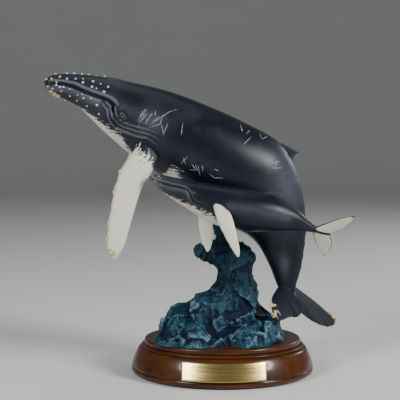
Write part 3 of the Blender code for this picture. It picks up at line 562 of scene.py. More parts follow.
class RockFinish(bpy.types.PropertyGroup):
    """Shape and colours of the rock."""

    facet: size_setting("Facet depth", "Depth of the chipped facets", 4.0, 0.0, 10.0)
    crag: size_setting("Crag height", "Height of the crags", 2.6, 0.0, 10.0)
    comb: size_setting("Comb depth", "Depth of the combed lines", 1.3, 0.0, 4.0)
    # Deep blue: the base coat, and the colour of the painted shade in the crevices and up the column.
    deep: colour_setting("Deep blue", "Colour in the hollows", (0.003, 0.013, 0.026))
    brushed: colour_setting("Turquoise", "Colour brushed over the crags", (0.018, 0.068, 0.104))
    tips: colour_setting("Tips", "Pale blue on the highest edges", (0.15, 0.265, 0.33))


class PlinthFinish(bpy.types.PropertyGroup):
    """Colours of the plinth, plate and felt."""

    wood: colour_setting("Wood", "Stained wood between the dark grain", (0.080, 0.023, 0.003))
    grain: colour_setting("Grain", "Dark lines of the grain", (0.030, 0.008, 0.0015))
    brass: colour_setting("Brass", "Colour of the plate", (0.90, 0.68, 0.27))
    felt: colour_setting("Felt", "Colour of the felt under the plinth", (0.018, 0.045, 0.028))


class StatuetteSettings(bpy.types.PropertyGroup):
    """Everything that a user of the statuette would change."""

    paint: bpy.props.PointerProperty(type=WhalePaint)
    relief: bpy.props.PointerProperty(type=WhaleRelief)
    rock: bpy.props.PointerProperty(type=RockFinish)
    plinth: bpy.props.PointerProperty(type=PlinthFinish)


def settings():
    return bpy.context.scene.statuette


class Graph:
    """A node tree being wired. Each step adds a node and returns the socket that comes out of it."""

    def __init__(self, tree):
        self.tree = tree

    def put(self, socket, value):
        if isinstance(value, bpy.types.NodeSocket):
            self.tree.links.new(value, socket)
        else:
            socket.default_value = value

    def add(self, kind, *inputs, output=0, **looks):
        node = self.tree.nodes.new(kind)
        for name, value in looks.items():
            setattr(node, name, value)
        for socket, value in inputs:
            self.put(node.inputs[socket], value)
        return node.outputs[output]

    def math(self, operation, first, second=0.0):
        return self.add("ShaderNodeMath", (0, first), (1, second), operation=operation)

    def plus(self, first, second):
        return self.math("ADD", first, second)

    def minus(self, first, second):
        return self.math("SUBTRACT", first, second)

    def times(self, first, second):
        return self.math("MULTIPLY", first, second)

    def scaled(self, vector, scale):
        return self.add("ShaderNodeVectorMath", (0, vector), (1, scale), operation="MULTIPLY")

    def noise(self, vector, scale, detail=4.0, roughness=0.55):
        return self.add(
            "ShaderNodeTexNoise", ("Vector", vector), ("Scale", scale), ("Detail", detail),
            ("Roughness", roughness),
        )

    def streaks(self, vector, scales, detail=4.0, roughness=0.55):
        """Noise drawn out or drawn in along each axis."""
        return self.noise(self.scaled(vector, scales), 1.0, detail, roughness)

    def spread(self, value, low, high, to_low=0.0, to_high=1.0):
        """value from low to high, smoothly spread from to_low to to_high."""
        return self.add(
            "ShaderNodeMapRange", (0, value), (1, low), (2, high), (3, to_low), (4, to_high),
            interpolation_type="SMOOTHSTEP",
        )

    def mix(self, factor, first, second):
        """A blend of two colours, each a socket or three numbers."""
        first, second = (c if isinstance(c, bpy.types.NodeSocket) else (*c, 1.0) for c in (first, second))
        return self.add("ShaderNodeMix", (0, factor), (6, first), (7, second), output=2, data_type="RGBA")


class Paint(Graph):
    """A Principled material being mixed."""

    def __init__(self, name, roughness=0.5, metallic=0.0, specular=0.5):
        self.material = bpy.data.materials.new(name)
        self.material.use_nodes = True
        super().__init__(self.material.node_tree)
        self.shader = self.tree.nodes["Principled BSDF"]
        self.set(roughness=roughness, metallic=metallic)
        self.shader.inputs["Specular IOR Level"].default_value = specular
        self.place = self.add("ShaderNodeTexCoord", output=3)

    def attribute(self, name, output=2):
        """A value of the mesh: output 1 is a vector, 2 a number."""
        return self.add("ShaderNodeAttribute", output=output, attribute_name=name)

    def set(self, **inputs):
        for name, value in inputs.items():
            self.put(self.shader.inputs[name.replace("_", " ").title()], value)

    def bump(self, height, depth):
        """Relief of the given depth, in millimetres."""
        normal = self.add("ShaderNodeBump", ("Distance", depth * MM), ("Height", height))
        self.put(self.shader.inputs["Normal"], normal)


def toned(colour, shares):
    """A colour with its parts scaled by one share, or each by its own."""
    return tuple(np.multiply(colour, shares))


def spline(rows, places):
    """Rows of numbers read along a smooth curve through the given rows, at places from 0 to 1."""
    rows = np.array(rows, float)
    padded = np.vstack([rows[:1], rows, rows[-1:]])
    spans = len(rows) - 1
    along = np.clip(np.asarray(places, float), 0.0, 1.0) * spans
    k = np.minimum(along.astype(int), spans - 1)
    t = (along - k)[:, None]
    a, b, c, d = (padded[k + i] for i in range(4))
    slope = c - a
    bend = 2 * a - 5 * b + 4 * c - d
    twist = 3 * (b - c) + d - a
    return b + (slope * t + bend * t**2 + twist * t**3) / 2


def run_lengths(path):
    """Distance of each point of a path from its start, along the path."""
    steps = np.linalg.norm(np.diff(path, axis=0), axis=1)
    return np.concatenate([[0.0], np.cumsum(steps)])


def even_places(points_at, count):
    """Places from 0 to 1 that are evenly spaced along a path."""
    fine = np.linspace(0.0, 1.0, FINE_STEPS)
    length = run_lengths(points_at(fine))
    return np.interp(np.linspace(0.0, length[-1], count), length, fine)


def unit(vectors):
    return vectors / np.maximum(np.linalg.norm(vectors, axis=-1, keepdims=True), 1e-9)


def bell(distance, width):
    return np.exp(-((distance / width) ** 2))


def rise(value, low, high):
    """0 below low, 1 above high, smooth between."""
    t = np.clip((value - low) / (high - low), 0.0, 1.0)
    return t * t * (3 - 2 * t)


def grid_faces(rings, sides):
    """Faces of a tube of points, ring after ring, with a fan over each end."""
    i, j = np.meshgrid(np.arange(rings - 1), np.arange(sides), indexing="ij")
    k = (j + 1) % sides
    quads = np.stack([i * sides + j, i * sides + k, (i + 1) * sides + k, (i + 1) * sides + j], axis=-1)
    faces = quads.reshape(-1, 4).tolist()
    first, last = rings * sides, rings * sides + 1
    end = (rings - 1) * sides
    for j in range(sides):
        k = (j + 1) % sides
        faces.append((k, j, first))
        faces.append((end + j, end + k, last))
    return faces


def add_object(name, data):
    """An object for a mesh, lamp or camera, in the scene."""
    added = bpy.data.objects.new(name, data)
    bpy.context.scene.collection.objects.link(added)
    return added


def keep_values(mesh, name, numbers):
    """Keeps a number or a vector at each point of a mesh."""
    numbers = np.asarray(numbers, np.float32)
    kind, field = ("FLOAT_VECTOR", "vector") if numbers.ndim == 2 else ("FLOAT", "value")
    mesh.attributes.new(name, kind, "POINT").data.foreach_set(field, numbers.ravel())


def new_piece(name, points, faces, material, values=None):
    """A smooth mesh object from points in millimetres, with named numbers or vectors at its points."""
    mesh = bpy.data.meshes.new(name)
    mesh.from_pydata((np.asarray(points) * MM).tolist(), [], faces)
    for key, numbers in (values or {}).items():
        keep_values(mesh, key, numbers)
    turn_outwards(mesh)
    mesh.shade_smooth()
    if material:
        mesh.materials.append(material)
    return add_object(name, mesh)


def turn_outwards(mesh):
    bm = bmesh.new()
    bm.from_mesh(mesh)
    bmesh.ops.recalc_face_normals(bm, faces=bm.faces)
    bm.to_mesh(mesh)
    bm.free()


def closed_rows(grid):
    """The rows of a tube, ring after ring, then the mean row of each end."""
    return np.vstack([grid.reshape(-1, grid.shape[-1]), grid[0].mean(axis=0), grid[-1].mean(axis=0)])


def grid_surface(grid):
    """The surface of a tube, for casting onto."""
    rings, sides, _ = grid.shape
    return BVHTree.FromPolygons(closed_rows(grid).tolist(), grid_faces(rings, sides))


def tube_piece(name, grid, material, values=None):
    """A piece from rings of points (rings, sides, 3), closed at both ends."""
    rings, sides, _ = grid.shape
    closed = {}
    for key, numbers in (values or {}).items():
        closed[key] = closed_rows(numbers.reshape(rings, sides, -1)).squeeze()
    return new_piece(name, closed_rows(grid), grid_faces(rings, sides), material, closed)


def settle(piece, body, slot, *nodes):
    """The piece rides on a body and stands for CAD nodes, which are hidden; the slot is not used."""
    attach(piece, body)
    if nodes:
        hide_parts(*nodes)


def plain_mesh(piece):
    """Turns a piece with modifiers into a plain mesh."""
    graph = bpy.context.evaluated_depsgraph_get()
    mesh = bpy.data.meshes.new_from_object(piece.evaluated_get(graph))
    piece.modifiers.clear()
    piece.data = mesh


def read_vectors(items, name):
    """One vector of each item, as rows."""
    values = np.empty(3 * len(items), np.float32)
    items.foreach_get(name, values)
    return values.reshape(-1, 3)


def tree_of(piece):
    """A piece's surface, in millimetres, for casting onto."""
    bm = bmesh.new()
    bm.from_mesh(piece.data)
    bmesh.ops.scale(bm, vec=(1 / MM, 1 / MM, 1 / MM), verts=bm.verts)
    found = BVHTree.FromBMesh(bm)
    bm.free()
    return found


def camera_ray(u, v):
    """The way that a pixel of the photograph looks."""
    forward = Vector((0.0, math.cos(CAMERA_PITCH), -math.sin(CAMERA_PITCH)))
    up = Vector((0.0, math.sin(CAMERA_PITCH), math.cos(CAMERA_PITCH)))
    right = Vector((1.0, 0.0, 0.0))
    return forward + right * (u - PICTURE / 2) / FOCAL_PIXELS + up * (PICTURE / 2 - v) / FOCAL_PIXELS


def seen_on(surface, u, v, depth=ADULT_ROWS[0][5]):
    """Where a pixel of the photograph meets a surface, or the nearest point of it, and the way out there."""
    start = Vector(CAMERA_PLACE)
    ray = camera_ray(u, v)
    place, normal, _, _ = surface.ray_cast(start, ray)
    if place is None:
        place, normal, _, _ = surface.find_nearest(start + ray * (depth - start.y) / ray.y)
    return place, normal


def line_on(surface, pixels, steps=8, sink=0.12):
    """A line through pixels of the photograph, cast onto a surface and sunk a little into it."""
    line = []
    for (u0, v0), (u1, v1) in zip(pixels, pixels[1:]):
        for i in range(steps + 1):
            t = i / steps
            place, way = seen_on(surface, u0 + (u1 - u0) * t, v0 + (v1 - v0) * t)
            line.append(place - way * sink)
    return line


def path_on(surface, pixels):
    return np.array([seen_on(surface, u, v)[0] for u, v in pixels])


def measure(points, path):
    """Distance of each point from a path on a left flank, and whether it lies above the path."""
    best = np.full(len(points), 1e9)
    above = np.zeros(len(points), bool)
    for start, end in zip(path, path[1:]):
        way = end - start
        share = np.clip((points - start) @ way / (way @ way), 0.0, 1.0)
        offset = points - (start + share[:, None] * way)
        distance = np.linalg.norm(offset, axis=1)
        nearer = distance < best
        over = offset @ np.array([-way[2], 0.0, way[0]]) > 0
        best = np.where(nearer, distance, best)
        above = np.where(nearer, over, above)
    return best, above


class Body:
    """The fine skin of a whale: its points, the way out at each, and where each lies on the body."""

    def __init__(self, rows, rings, sides):
        places = even_places(lambda p: self.middles(spline(rows, p)), rings)
        read = spline(rows, places)
        self.middle_y = rows[0][5]
        middle = self.middles(read)
        up, right, half_height = self.cross_axes(read)
        half_width = read[:, 4]
        angle = np.linspace(0.0, math.tau, sides, endpoint=False)
        cos, sin = np.cos(angle)[None, :, None], np.sin(angle)[None, :, None]
        height, width = half_height[:, None, None], half_width[:, None, None]
        self.grid = middle[:, None, :] + up * cos * height + right * sin * width
        self.out = unit(up * cos / height + right * sin / width)
        self.round = np.broadcast_to(np.minimum(angle, math.tau - angle) / math.pi, (rings, sides))
        self.x = np.broadcast_to(middle[:, 0][:, None], (rings, sides))
        along = run_lengths(middle)[:, None] + 0 * self.round
        girth = np.pi * (half_height + half_width)[:, None] / 2 * self.round
        self.skin = np.stack([along, girth, 0 * girth], axis=-1)

    @staticmethod
    def cross_axes(read):
        """The ways up and right across each ring, turned as its row says, and half its height."""
        up = np.stack([read[:, 0] - read[:, 2], 0 * read[:, 0], read[:, 1] - read[:, 3]], axis=1)
        half_height = np.linalg.norm(up, axis=1) / 2
        up = unit(up)
        right = np.broadcast_to([0.0, 1.0, 0.0], up.shape)
        turn = np.radians(read[:, 6])[:, None]
        turned_up = up * np.cos(turn) + right * np.sin(turn)
        turned_right = right * np.cos(turn) - up * np.sin(turn)
        return turned_up[:, None, :], turned_right[:, None, :], half_height

    @staticmethod
    def middles(read):
        return np.stack([(read[:, 0] + read[:, 2]) / 2, read[:, 5], (read[:, 1] + read[:, 3]) / 2], axis=1)

    def folded(self):
        """The points with those of the right flank mirrored onto the left."""
        points = self.grid.reshape(-1, 3).copy()
        points[:, 1] = self.middle_y - np.abs(points[:, 1] - self.middle_y)
        return points

    def surface(self):
        return grid_surface(self.grid)

    def lift(self, heights):
        self.grid = self.grid + self.out * heights.reshape(self.round.shape)[..., None]


def mouth_relief(points, lip, path, depth, size):
    """A mouth: a deep line with a rolled lip above it and a full jaw below it."""
    distance, above = measure(points, path)
    line = -depth * bell(distance, MOUTH_WIDTH * size)
    jaw = np.where(above, 0.0, JAW_HEIGHT * size * bell(distance - JAW_BELOW * size, JAW_WIDTH * size))
    distance, _ = measure(points, lip)
    return line + jaw + LIP_HEIGHT * size * bell(distance, LIP_WIDTH * size)


def fold_relief(points, paths, height, width):
    """Rounded folds along paths, each with a furrow on both sides, that fade out at their hind ends."""
    lift = np.zeros(len(points))
    for path in paths:
        distance, _ = measure(points, path)
        beside = distance - FOLD_FURROW_AWAY * width
        furrow = FOLD_FURROW_DEPTH * height * bell(beside, FOLD_FURROW_WIDTH * width)
        from_end = np.linalg.norm(points - path[-1], axis=1)
        lift += (height * bell(distance, width) - furrow) * rise(from_end, width, FOLD_FADE * width)
    return lift


def pleat_relief(body, first, last, top, count, depth):
    """Throat pleats between two places along x, from a share of the way round down to the belly."""
    wave = np.abs(np.sin(math.pi * count * (body.round - top) / (1.0 - top)))
    groove = (1.0 - wave) ** 3
    fade = rise(body.x, first, first + PLEAT_FADE_IN) * (1.0 - rise(body.x, last - PLEAT_FADE_OUT, last))
    fade = fade * rise(body.round, top, top + PLEAT_FADE_UP)
    return -depth * groove * fade


def eye_relief(points, eye, size):
    """Lids round an eye."""
    distance = np.linalg.norm(points - np.array(eye), axis=1)
    lids = LID_HEIGHT * bell(distance - LID_RADIUS * size, LID_WIDTH * size)
    furrow = EYE_FURROW_DEPTH * bell(distance - EYE_FURROW_RADIUS * size, EYE_FURROW_WIDTH * size)
    return size * (lids - furrow)


def head_relief(points, plain, marks, mouth, fold, lid_size):
    """Relief of a head: mouth is a depth and a size, fold a height and a width."""
    lip, line, folds, eye = marks
    lift = mouth_relief(points, path_on(plain, lip), path_on(plain, line), *mouth)
    lift += fold_relief(points, [path_on(plain, pixels) for pixels in folds], *fold)
    return lift + eye_relief(points, seen_on(plain, *eye)[0], lid_size)


def knuckle_relief(body):
    """Small knuckles along the ridge of the hind back."""
    along = body.skin[..., 0]
    knuckles = np.clip(np.cos(along * math.tau / KNUCKLE_SPACING), 0.0, 1.0) * bell(body.round, KNUCKLE_WIDTH)
    return KNUCKLE_HEIGHT * knuckles * rise(along, *KNUCKLE_START) * (1.0 - rise(along, *KNUCKLE_END))


def throat(body, border, slope):
    """How far each point lies inside the cream of the throat: a half on its border, more below it."""
    places, shares = zip(*border)
    return 0.5 + slope * (body.round - np.interp(body.x, places, shares))


def dark_values(skin, brushed):
    """Values for a piece in whale paint that has no cream and no speckles."""
    none = 0.0 * brushed
    return {"skin": skin, "pale": none + NO_CREAM, "brushed": brushed, "speckle": none}


def whale_skin_paint(name, tear):
    """Satin blue-black with brushed grey, painted highlights and painted shade, over a cream throat that
    breaks up along the pleats.
    """
    colours = settings().paint
    paint = Paint(name, roughness=0.36, specular=0.32)
    skin = paint.attribute("skin", 1)
    cloudy = paint.noise(paint.place, scale=45.0, detail=5.0)
    brushed = paint.streaks(paint.place, (90.0, 90.0, 320.0), detail=4.0)
    grey = paint.times(paint.spread(cloudy, 0.45, 0.8), 0.12)
    # The brushed values carry dry-brushed grey, painted highlights on the flanks and tail, and painted shade
    # in the grooves.
    patchy = paint.times(paint.attribute("brushed"), paint.spread(brushed, 0.25, 0.7, 0.65, 1.0))
    grey = paint.math("MINIMUM", paint.plus(grey, patchy), 1.0)
    base = paint.mix(grey, colours.skin, colours.sheen)
    streaks = paint.streaks(skin, tear, detail=5.0, roughness=0.6)
    torn = paint.plus(paint.attribute("pale"), paint.times(paint.minus(streaks, 0.5), 1.6))
    pale = paint.spread(torn, 0.47, 0.53)
    dashes = paint.streaks(skin, (0.09, 1.3, 1.0), detail=2.0)
    pale = paint.times(pale, paint.spread(dashes, 0.60, 0.65, 1.0, 0.2))
    warm = paint.mix(cloudy, colours.cream, toned(colours.cream, (0.86, 0.80, 0.70)))
    flecks = paint.noise(paint.place, scale=1100.0, detail=3.0)
    speckle = paint.spread(paint.plus(flecks, paint.attribute("speckle")), 1.04, 1.14)
    speckled = paint.mix(speckle, paint.mix(pale, base, warm), toned(colours.cream, 0.7))
    paint.set(base_color=speckled)
    paint.set(roughness=paint.spread(cloudy, 0.2, 0.8, 0.32, 0.44))
    paint.bump(paint.noise(paint.place, scale=1400.0, detail=3.0), 0.05)
    return paint.material


def flipper_paint(name):
    """Cream that runs into the dark shoulder in fingers, dulled along the edges."""
    colours = settings().paint
    paint = Paint(name, roughness=0.5)
    skin = paint.attribute("skin", 1)
    fingers = paint.streaks(skin, (0.06, 0.42, 1.0), detail=3.0, roughness=0.6)
    drops = paint.streaks(skin, (0.16, 0.38, 1.0), detail=2.0)
    torn = paint.plus(paint.minus(fingers, 0.5), paint.minus(drops, 0.5))
    dark = paint.plus(paint.attribute("root"), paint.times(torn, 1.35))
    dark = paint.spread(dark, 0.46, 0.54)
    cloudy = paint.noise(paint.place, scale=60.0, detail=5.0)
    warm = paint.mix(cloudy, colours.cream, toned(colours.cream, (0.88, 0.83, 0.74)))
    nicks = paint.noise(paint.place, scale=420.0, detail=2.0)
    notches = paint.plus(paint.attribute("edge"), paint.minus(nicks, 0.62))
    worn = paint.mix(paint.spread(notches, 0.45, 0.75), warm, colours.sheen)
    paint.set(base_color=paint.mix(dark, worn, colours.skin))
    paint.bump(paint.noise(paint.place, scale=900.0, detail=3.0), 0.15)
    return paint.material


def fluke_paint(name):
    """Blue-black above, cream inside a dark border below, with a worn trailing edge."""
    colours = settings().paint
    paint = Paint(name, roughness=0.55, specular=0.12)
    skin = paint.attribute("skin", 1)
    cloudy = paint.noise(paint.place, scale=60.0, detail=5.0)
    brushed = paint.streaks(skin, (0.26, 0.05, 1.0), detail=5.0, roughness=0.65)
    grey = paint.times(paint.attribute("brushed"), paint.spread(brushed, 0.42, 0.75, 0.0, 0.28))
    grey = paint.plus(grey, paint.times(paint.spread(cloudy, 0.4, 0.8), 0.12))
    base = paint.mix(paint.math("MINIMUM", grey, 1.0), colours.skin, colours.sheen)
    torn = paint.plus(paint.attribute("pale"), paint.times(paint.minus(brushed, 0.5), 0.5))
    warm = paint.mix(cloudy, colours.cream, toned(colours.cream, (0.88, 0.83, 0.74)))
    nicks = paint.noise(paint.place, scale=500.0, detail=2.0)
    edge = paint.plus(paint.attribute("edge"), paint.minus(nicks, 0.6))
    colour = paint.mix(paint.spread(torn, 0.42, 0.58), base, warm)
    paint.set(base_color=paint.mix(paint.spread(edge, 0.55, 0.85), colour, colours.scar))
    paint.bump(paint.noise(paint.place, scale=1200.0, detail=3.0), 0.04)
    return paint.material


def barnacle_paint(name="painted_barnacle"):
    colours = settings().paint
    paint = Paint(name, roughness=0.6)
    patchy = paint.noise(paint.place, scale=380.0, detail=3.0)
    bleached = toned(colours.cream, (1.0, 0.92, 0.66))
    paint.set(base_color=paint.mix(paint.spread(patchy, 0.4, 0.62), colours.barnacle, bleached))
    paint.bump(paint.noise(paint.place, scale=2200.0, detail=2.0), 0.2)
    return paint.material


def tubercle_paint():
    """Grey knobs whose tops are touched with pale paint."""
    colours = settings().paint
    paint = Paint("tubercle_paint", roughness=0.45)
    top = paint.spread(paint.attribute("top"), 0.0, 0.4)
    patchy = paint.noise(paint.place, scale=700.0, detail=2.0)
    pale = paint.mix(patchy, colours.cream, colours.scar)
    paint.set(base_color=paint.mix(top, colours.skin, pale))
    return paint.material


def scar_paint():
    colours = settings().paint
    paint = Paint("scar_paint", roughness=0.55)
    patchy = paint.noise(paint.place, scale=500.0, detail=3.0)
    paint.set(base_color=paint.mix(paint.spread(patchy, 0.3, 0.75), colours.scar, colours.sheen))
    return paint.material


def eye_paint():
    paint = Paint("eye_paint", roughness=0.12)
    cloudy = paint.noise(paint.place, scale=300.0, detail=2.0)
    paint.set(base_color=paint.mix(cloudy, (0.006, 0.005, 0.005), (0.03, 0.02, 0.015)))
    paint.set(coat_weight=0.8)
    return paint.material


def rock_paint():
    """Deep blue painted into the hollows as shade, steel blue over the faces, darker up the column as painted
    shade under the whales, pale blue dry-brushed over what stands out.
    """
    colours = settings().rock
    paint = Paint("dry_brushed_rock", roughness=0.6, specular=0.14)
    # Painted shade: the more shut in a point is, the more it is painted deep blue.
    outside_painted_shade = paint.spread(paint.attribute("hollow"), 0.08, 0.62, 1.0, 0.0)
    # Painted shade: the brushed and pale colours fade going up the column under the whales, so it is painted
    # darker.
    height = paint.add("ShaderNodeSeparateXYZ", (0, paint.place), output=2)
    low = paint.spread(height, ROCK_SHADE_FROM * MM, ROCK_SHADE_TO * MM, 1.0, 0.1)
    grit = paint.noise(paint.place, scale=420.0, detail=6.0, roughness=0.65)
    combed = paint.streaks(paint.place, (1000.0, 1000.0, 230.0), detail=4.0, roughness=0.6)
    rough = paint.plus(paint.minus(grit, 0.5), paint.minus(combed, 0.5))
    ridge = paint.attribute("ridge")
    high = paint.plus(paint.times(ridge, 0.8), paint.times(rough, 1.3))
    covered = paint.times(paint.spread(high, -0.4, 0.5), paint.spread(low, 0.1, 1.0, 0.28, 1.0))
    body = paint.mix(covered, colours.deep, colours.brushed)
    strokes = paint.plus(paint.times(ridge, 0.45), paint.times(rough, 2.0))
    flecks = paint.times(paint.spread(strokes, 0.28, 1.0), low)
    brushed = paint.mix(flecks, body, colours.tips)
    paint.set(base_color=paint.mix(outside_painted_shade, colours.deep, brushed))
    paint.bump(rough, 0.9)
    return paint.material


def wood_paint():
    """Stained wood with the grain along the plinth, under gloss lacquer."""
    colours = settings().plinth
    paint = Paint("plinth_wood", roughness=0.32, specular=0.22)
    bands = paint.streaks(paint.place, (9.0, 90.0, 110.0), detail=5.0, roughness=0.6)
    pores = paint.streaks(paint.place, (60.0, 900.0, 1100.0), detail=2.0)
    dark = paint.plus(paint.spread(bands, 0.36, 0.66), paint.times(paint.spread(pores, 0.58, 0.7), 0.35))
    colour = paint.mix(dark, colours.wood, colours.grain)
    tone = paint.noise(paint.place, scale=12.0, detail=2.0)
    red = toned(colours.wood, (1.25, 1.15, 1.0))
    paint.set(base_color=paint.mix(paint.spread(tone, 0.45, 0.8, 0.0, 0.5), colour, red))
    paint.set(coat_weight=0.3, coat_roughness=0.10)
    paint.bump(paint.spread(pores, 0.58, 0.72), 0.04)
    return paint.material


def brass_paint():
    """Brass brushed along the plate, a little duller in places."""
    colours = settings().plinth
    paint = Paint("plate_brass", roughness=0.3, metallic=1.0)
    brushed = paint.streaks(paint.place, (20.0, 20.0, 2600.0), detail=3.0)
    cloudy = paint.noise(paint.place, scale=40.0, detail=3.0)
    dull = toned(colours.brass, (0.80, 0.72, 0.55))
    paint.set(base_color=paint.mix(paint.times(cloudy, brushed), colours.brass, dull))
    paint.set(roughness=paint.spread(brushed, 0.3, 0.7, 0.18, 0.3))
    paint.bump(brushed, 0.03)
    return paint.material


def metal_paint(name, colour, roughness):
    """Drawn metal with faint lines along it."""
    paint = Paint(name, roughness=roughness, metallic=1.0)
    drawn = paint.streaks(paint.place, (900.0, 900.0, 40.0), detail=3.0)
    paint.set(base_color=paint.mix(drawn, colour, toned(colour, 0.75)))
    paint.set(roughness=paint.spread(drawn, 0.2, 0.8, 0.8 * roughness, 1.2 * roughness))
    return paint.material


def tape_paint():
    paint = Paint("foam_tape", roughness=0.85)
    foam = paint.noise(paint.place, scale=1600.0, detail=3.0)
    paint.set(base_color=paint.mix(foam, (0.78, 0.77, 0.73), (0.6, 0.59, 0.55)))
    paint.bump(foam, 0.1)
    return paint.material


def felt_paint():
    colour = settings().plinth.felt
    paint = Paint("felt_cloth", roughness=0.95)
    fibres = paint.noise(paint.place, scale=1500.0, detail=5.0, roughness=0.7)
    paint.set(base_color=paint.mix(fibres, colour, toned(colour, 2.2)))
    paint.set(sheen_weight=0.4)
    paint.bump(fibres, 0.3)
    return paint.material


def once(name, make):
    """The material of that name, made on first use."""
    return bpy.data.materials.get(name) or make()


def new_tree(name, numbers):
    """A geometry node tree with a mesh in and out and named numbers: its graph, inputs and output."""
    tree = bpy.data.node_groups.new(name, "GeometryNodeTree")
    tree.interface.new_socket("Geometry", in_out="INPUT", socket_type="NodeSocketGeometry")
    tree.interface.new_socket("Geometry", in_out="OUTPUT", socket_type="NodeSocketGeometry")
    for label in numbers:
        tree.interface.new_socket(label, in_out="INPUT", socket_type="NodeSocketFloat")
    graph = Graph(tree)
    entry = tree.nodes.new("NodeGroupInput")
    exit_node = tree.nodes.new("NodeGroupOutput")
    return graph, entry.outputs, exit_node.inputs[0]


def end_tree(graph, result, shape, material):
    """Ends a tree with real geometry in one material."""
    real = graph.add("GeometryNodeRealizeInstances", ("Geometry", shape))
    painted = graph.add("GeometryNodeSetMaterial", ("Geometry", real), ("Material", material))
    graph.put(result, painted)
    return graph.tree


def run_tree(piece, tree, **numbers):
    """Runs a tree on a piece, with its numbers set by name, and keeps the plain mesh."""
    modifier = piece.modifiers.new(tree.name, "NODES")
    modifier.node_group = tree
    for item in tree.interface.items_tree:
        if item.in_out == "INPUT" and item.name in numbers:
            modifier[item.identifier] = numbers[item.name]
    plain_mesh(piece)


def stud_shape(graph, cone):
    """One knob, round or a cone with a flat top, that keeps the height of its points as top."""
    if cone:
        shape = graph.add(
            "GeometryNodeMeshCone", ("Vertices", 9), ("Side Segments", 2), ("Radius Top", 0.42),
            ("Radius Bottom", 1.0), ("Depth", 1.1), fill_type="NGON",
        )
    else:
        shape = graph.add("GeometryNodeMeshIcoSphere", ("Radius", 1.0), ("Subdivisions", 2))
    place = graph.add("GeometryNodeInputPosition")
    height = graph.add("ShaderNodeSeparateXYZ", (0, place), output=2)
    return graph.add(
        "GeometryNodeStoreNamedAttribute", ("Geometry", shape), ("Name", "top"), ("Value", height),
        data_type="FLOAT", domain="POINT",
    )


def stud_tree(name, material, cone):
    """Knobs on points, round or cones, aligned with the points' way out."""
    graph, inputs, result = new_tree(name, ("Size", "Spread"))
    shape = graph.add(
        "GeometryNodeSetShadeSmooth", ("Geometry", stud_shape(graph, cone)), ("Shade Smooth", not cone)
    )
    way = graph.add("GeometryNodeInputNamedAttribute", ("Name", "way"), data_type="FLOAT_VECTOR")
    turn = graph.add("FunctionNodeAlignRotationToVector", ("Vector", way), axis="Z")
    chance = graph.add(
        "FunctionNodeRandomValue", (2, 0.0), (3, 1.0), ("Seed", STUD_SEED), output=1, data_type="FLOAT"
    )
    factor = graph.plus(1.0, graph.times(inputs["Spread"], graph.minus(chance, 0.5)))
    size = graph.times(inputs["Size"], factor)
    points = graph.add("GeometryNodeMeshToPoints", ("Mesh", inputs["Geometry"]))
    studs = graph.add(
        "GeometryNodeInstanceOnPoints", ("Points", points), ("Instance", shape), ("Rotation", turn),
        ("Scale", size),
    )
    return end_tree(graph, result, studs, material)


def stroke_tree(name, material):
    """Thin raised strokes along lines, fading at both ends."""
    graph, inputs, result = new_tree(name, ("Width",))
    curve = graph.add("GeometryNodeMeshToCurve", ("Mesh", inputs["Geometry"]))
    step = STROKE_STEP * MM
    curve = graph.add("GeometryNodeResampleCurve", ("Curve", curve), ("Length", step), mode="LENGTH")
    share = graph.add("GeometryNodeSplineParameter")
    swell = graph.math("SINE", graph.times(share, math.pi))
    radius = graph.times(inputs["Width"], graph.plus(STROKE_END, graph.times(swell, 1.0 - STROKE_END)))
    round_edge = graph.add("GeometryNodeCurvePrimitiveCircle", ("Resolution", STROKE_SIDES), ("Radius", 1.0))
    strokes = graph.add(
        "GeometryNodeCurveToMesh", ("Curve", curve), ("Profile Curve", round_edge), ("Scale", radius),
        ("Fill Caps", True),
    )
    return end_tree(graph, result, strokes, material)


def crag_tree(material):
    """Chipped facets, crags and combed lines over a rock."""
    graph, inputs, result = new_tree("Crags", ("Facet depth", "Crag height", "Comb depth"))
    place = graph.scaled(graph.add("GeometryNodeInputPosition"), (1 / MM, 1 / MM, 1 / MM))
    chips = graph.times(facets(graph, place, CHIP_SCALE), CHIP_SHARE)
    facet = graph.plus(facets(graph, place, FACET_SCALE), chips)
    crag = graph.minus(graph.noise(place, scale=0.07, detail=5.0, roughness=0.55), 0.5)
    combed = graph.streaks(place, (0.55, 0.55, 0.13), detail=4.0, roughness=0.6)
    comb = graph.minus(combed, 0.5)
    lift = graph.times(facet, inputs["Facet depth"])
    lift = graph.plus(lift, graph.times(crag, inputs["Crag height"]))
    lift = graph.plus(lift, graph.times(comb, inputs["Comb depth"]))
    height = graph.add("ShaderNodeSeparateXYZ", (0, place), output=2)
    lift = graph.times(lift, graph.spread(height, ROCK_FOOT, ROCK_FOOT + ROCK_SKIRT, 0.15, 1.0))
    offset = graph.add(
        "ShaderNodeVectorMath", (0, graph.add("GeometryNodeInputNormal")), ("Scale", graph.times(lift, MM)),
        operation="SCALE",
    )
    moved = graph.add("GeometryNodeSetPosition", ("Geometry", inputs["Geometry"]), ("Offset", offset))
    return end_tree(graph, result, moved, material)


def facets(graph, place, scale):
    """Flat chips, each tilted its own way: about -0.5 to 0.5 across a chip."""
    spot = graph.scaled(place, (scale, scale, FACET_UPRIGHT * scale))
    cell = graph.add("ShaderNodeTexVoronoi", ("Vector", spot), ("Scale", 1.0)).node.outputs
    from_middle = graph.add("ShaderNodeVectorMath", (0, spot), (1, cell["Position"]), operation="SUBTRACT")
    tilt = graph.add("ShaderNodeVectorMath", (0, cell["Color"]), (1, (0.5, 0.5, 0.5)), operation="SUBTRACT")
    dot = graph.add("ShaderNodeVectorMath", (0, from_middle), (1, tilt), output=1, operation="DOT_PRODUCT")
    return graph.times(dot, 2.0)


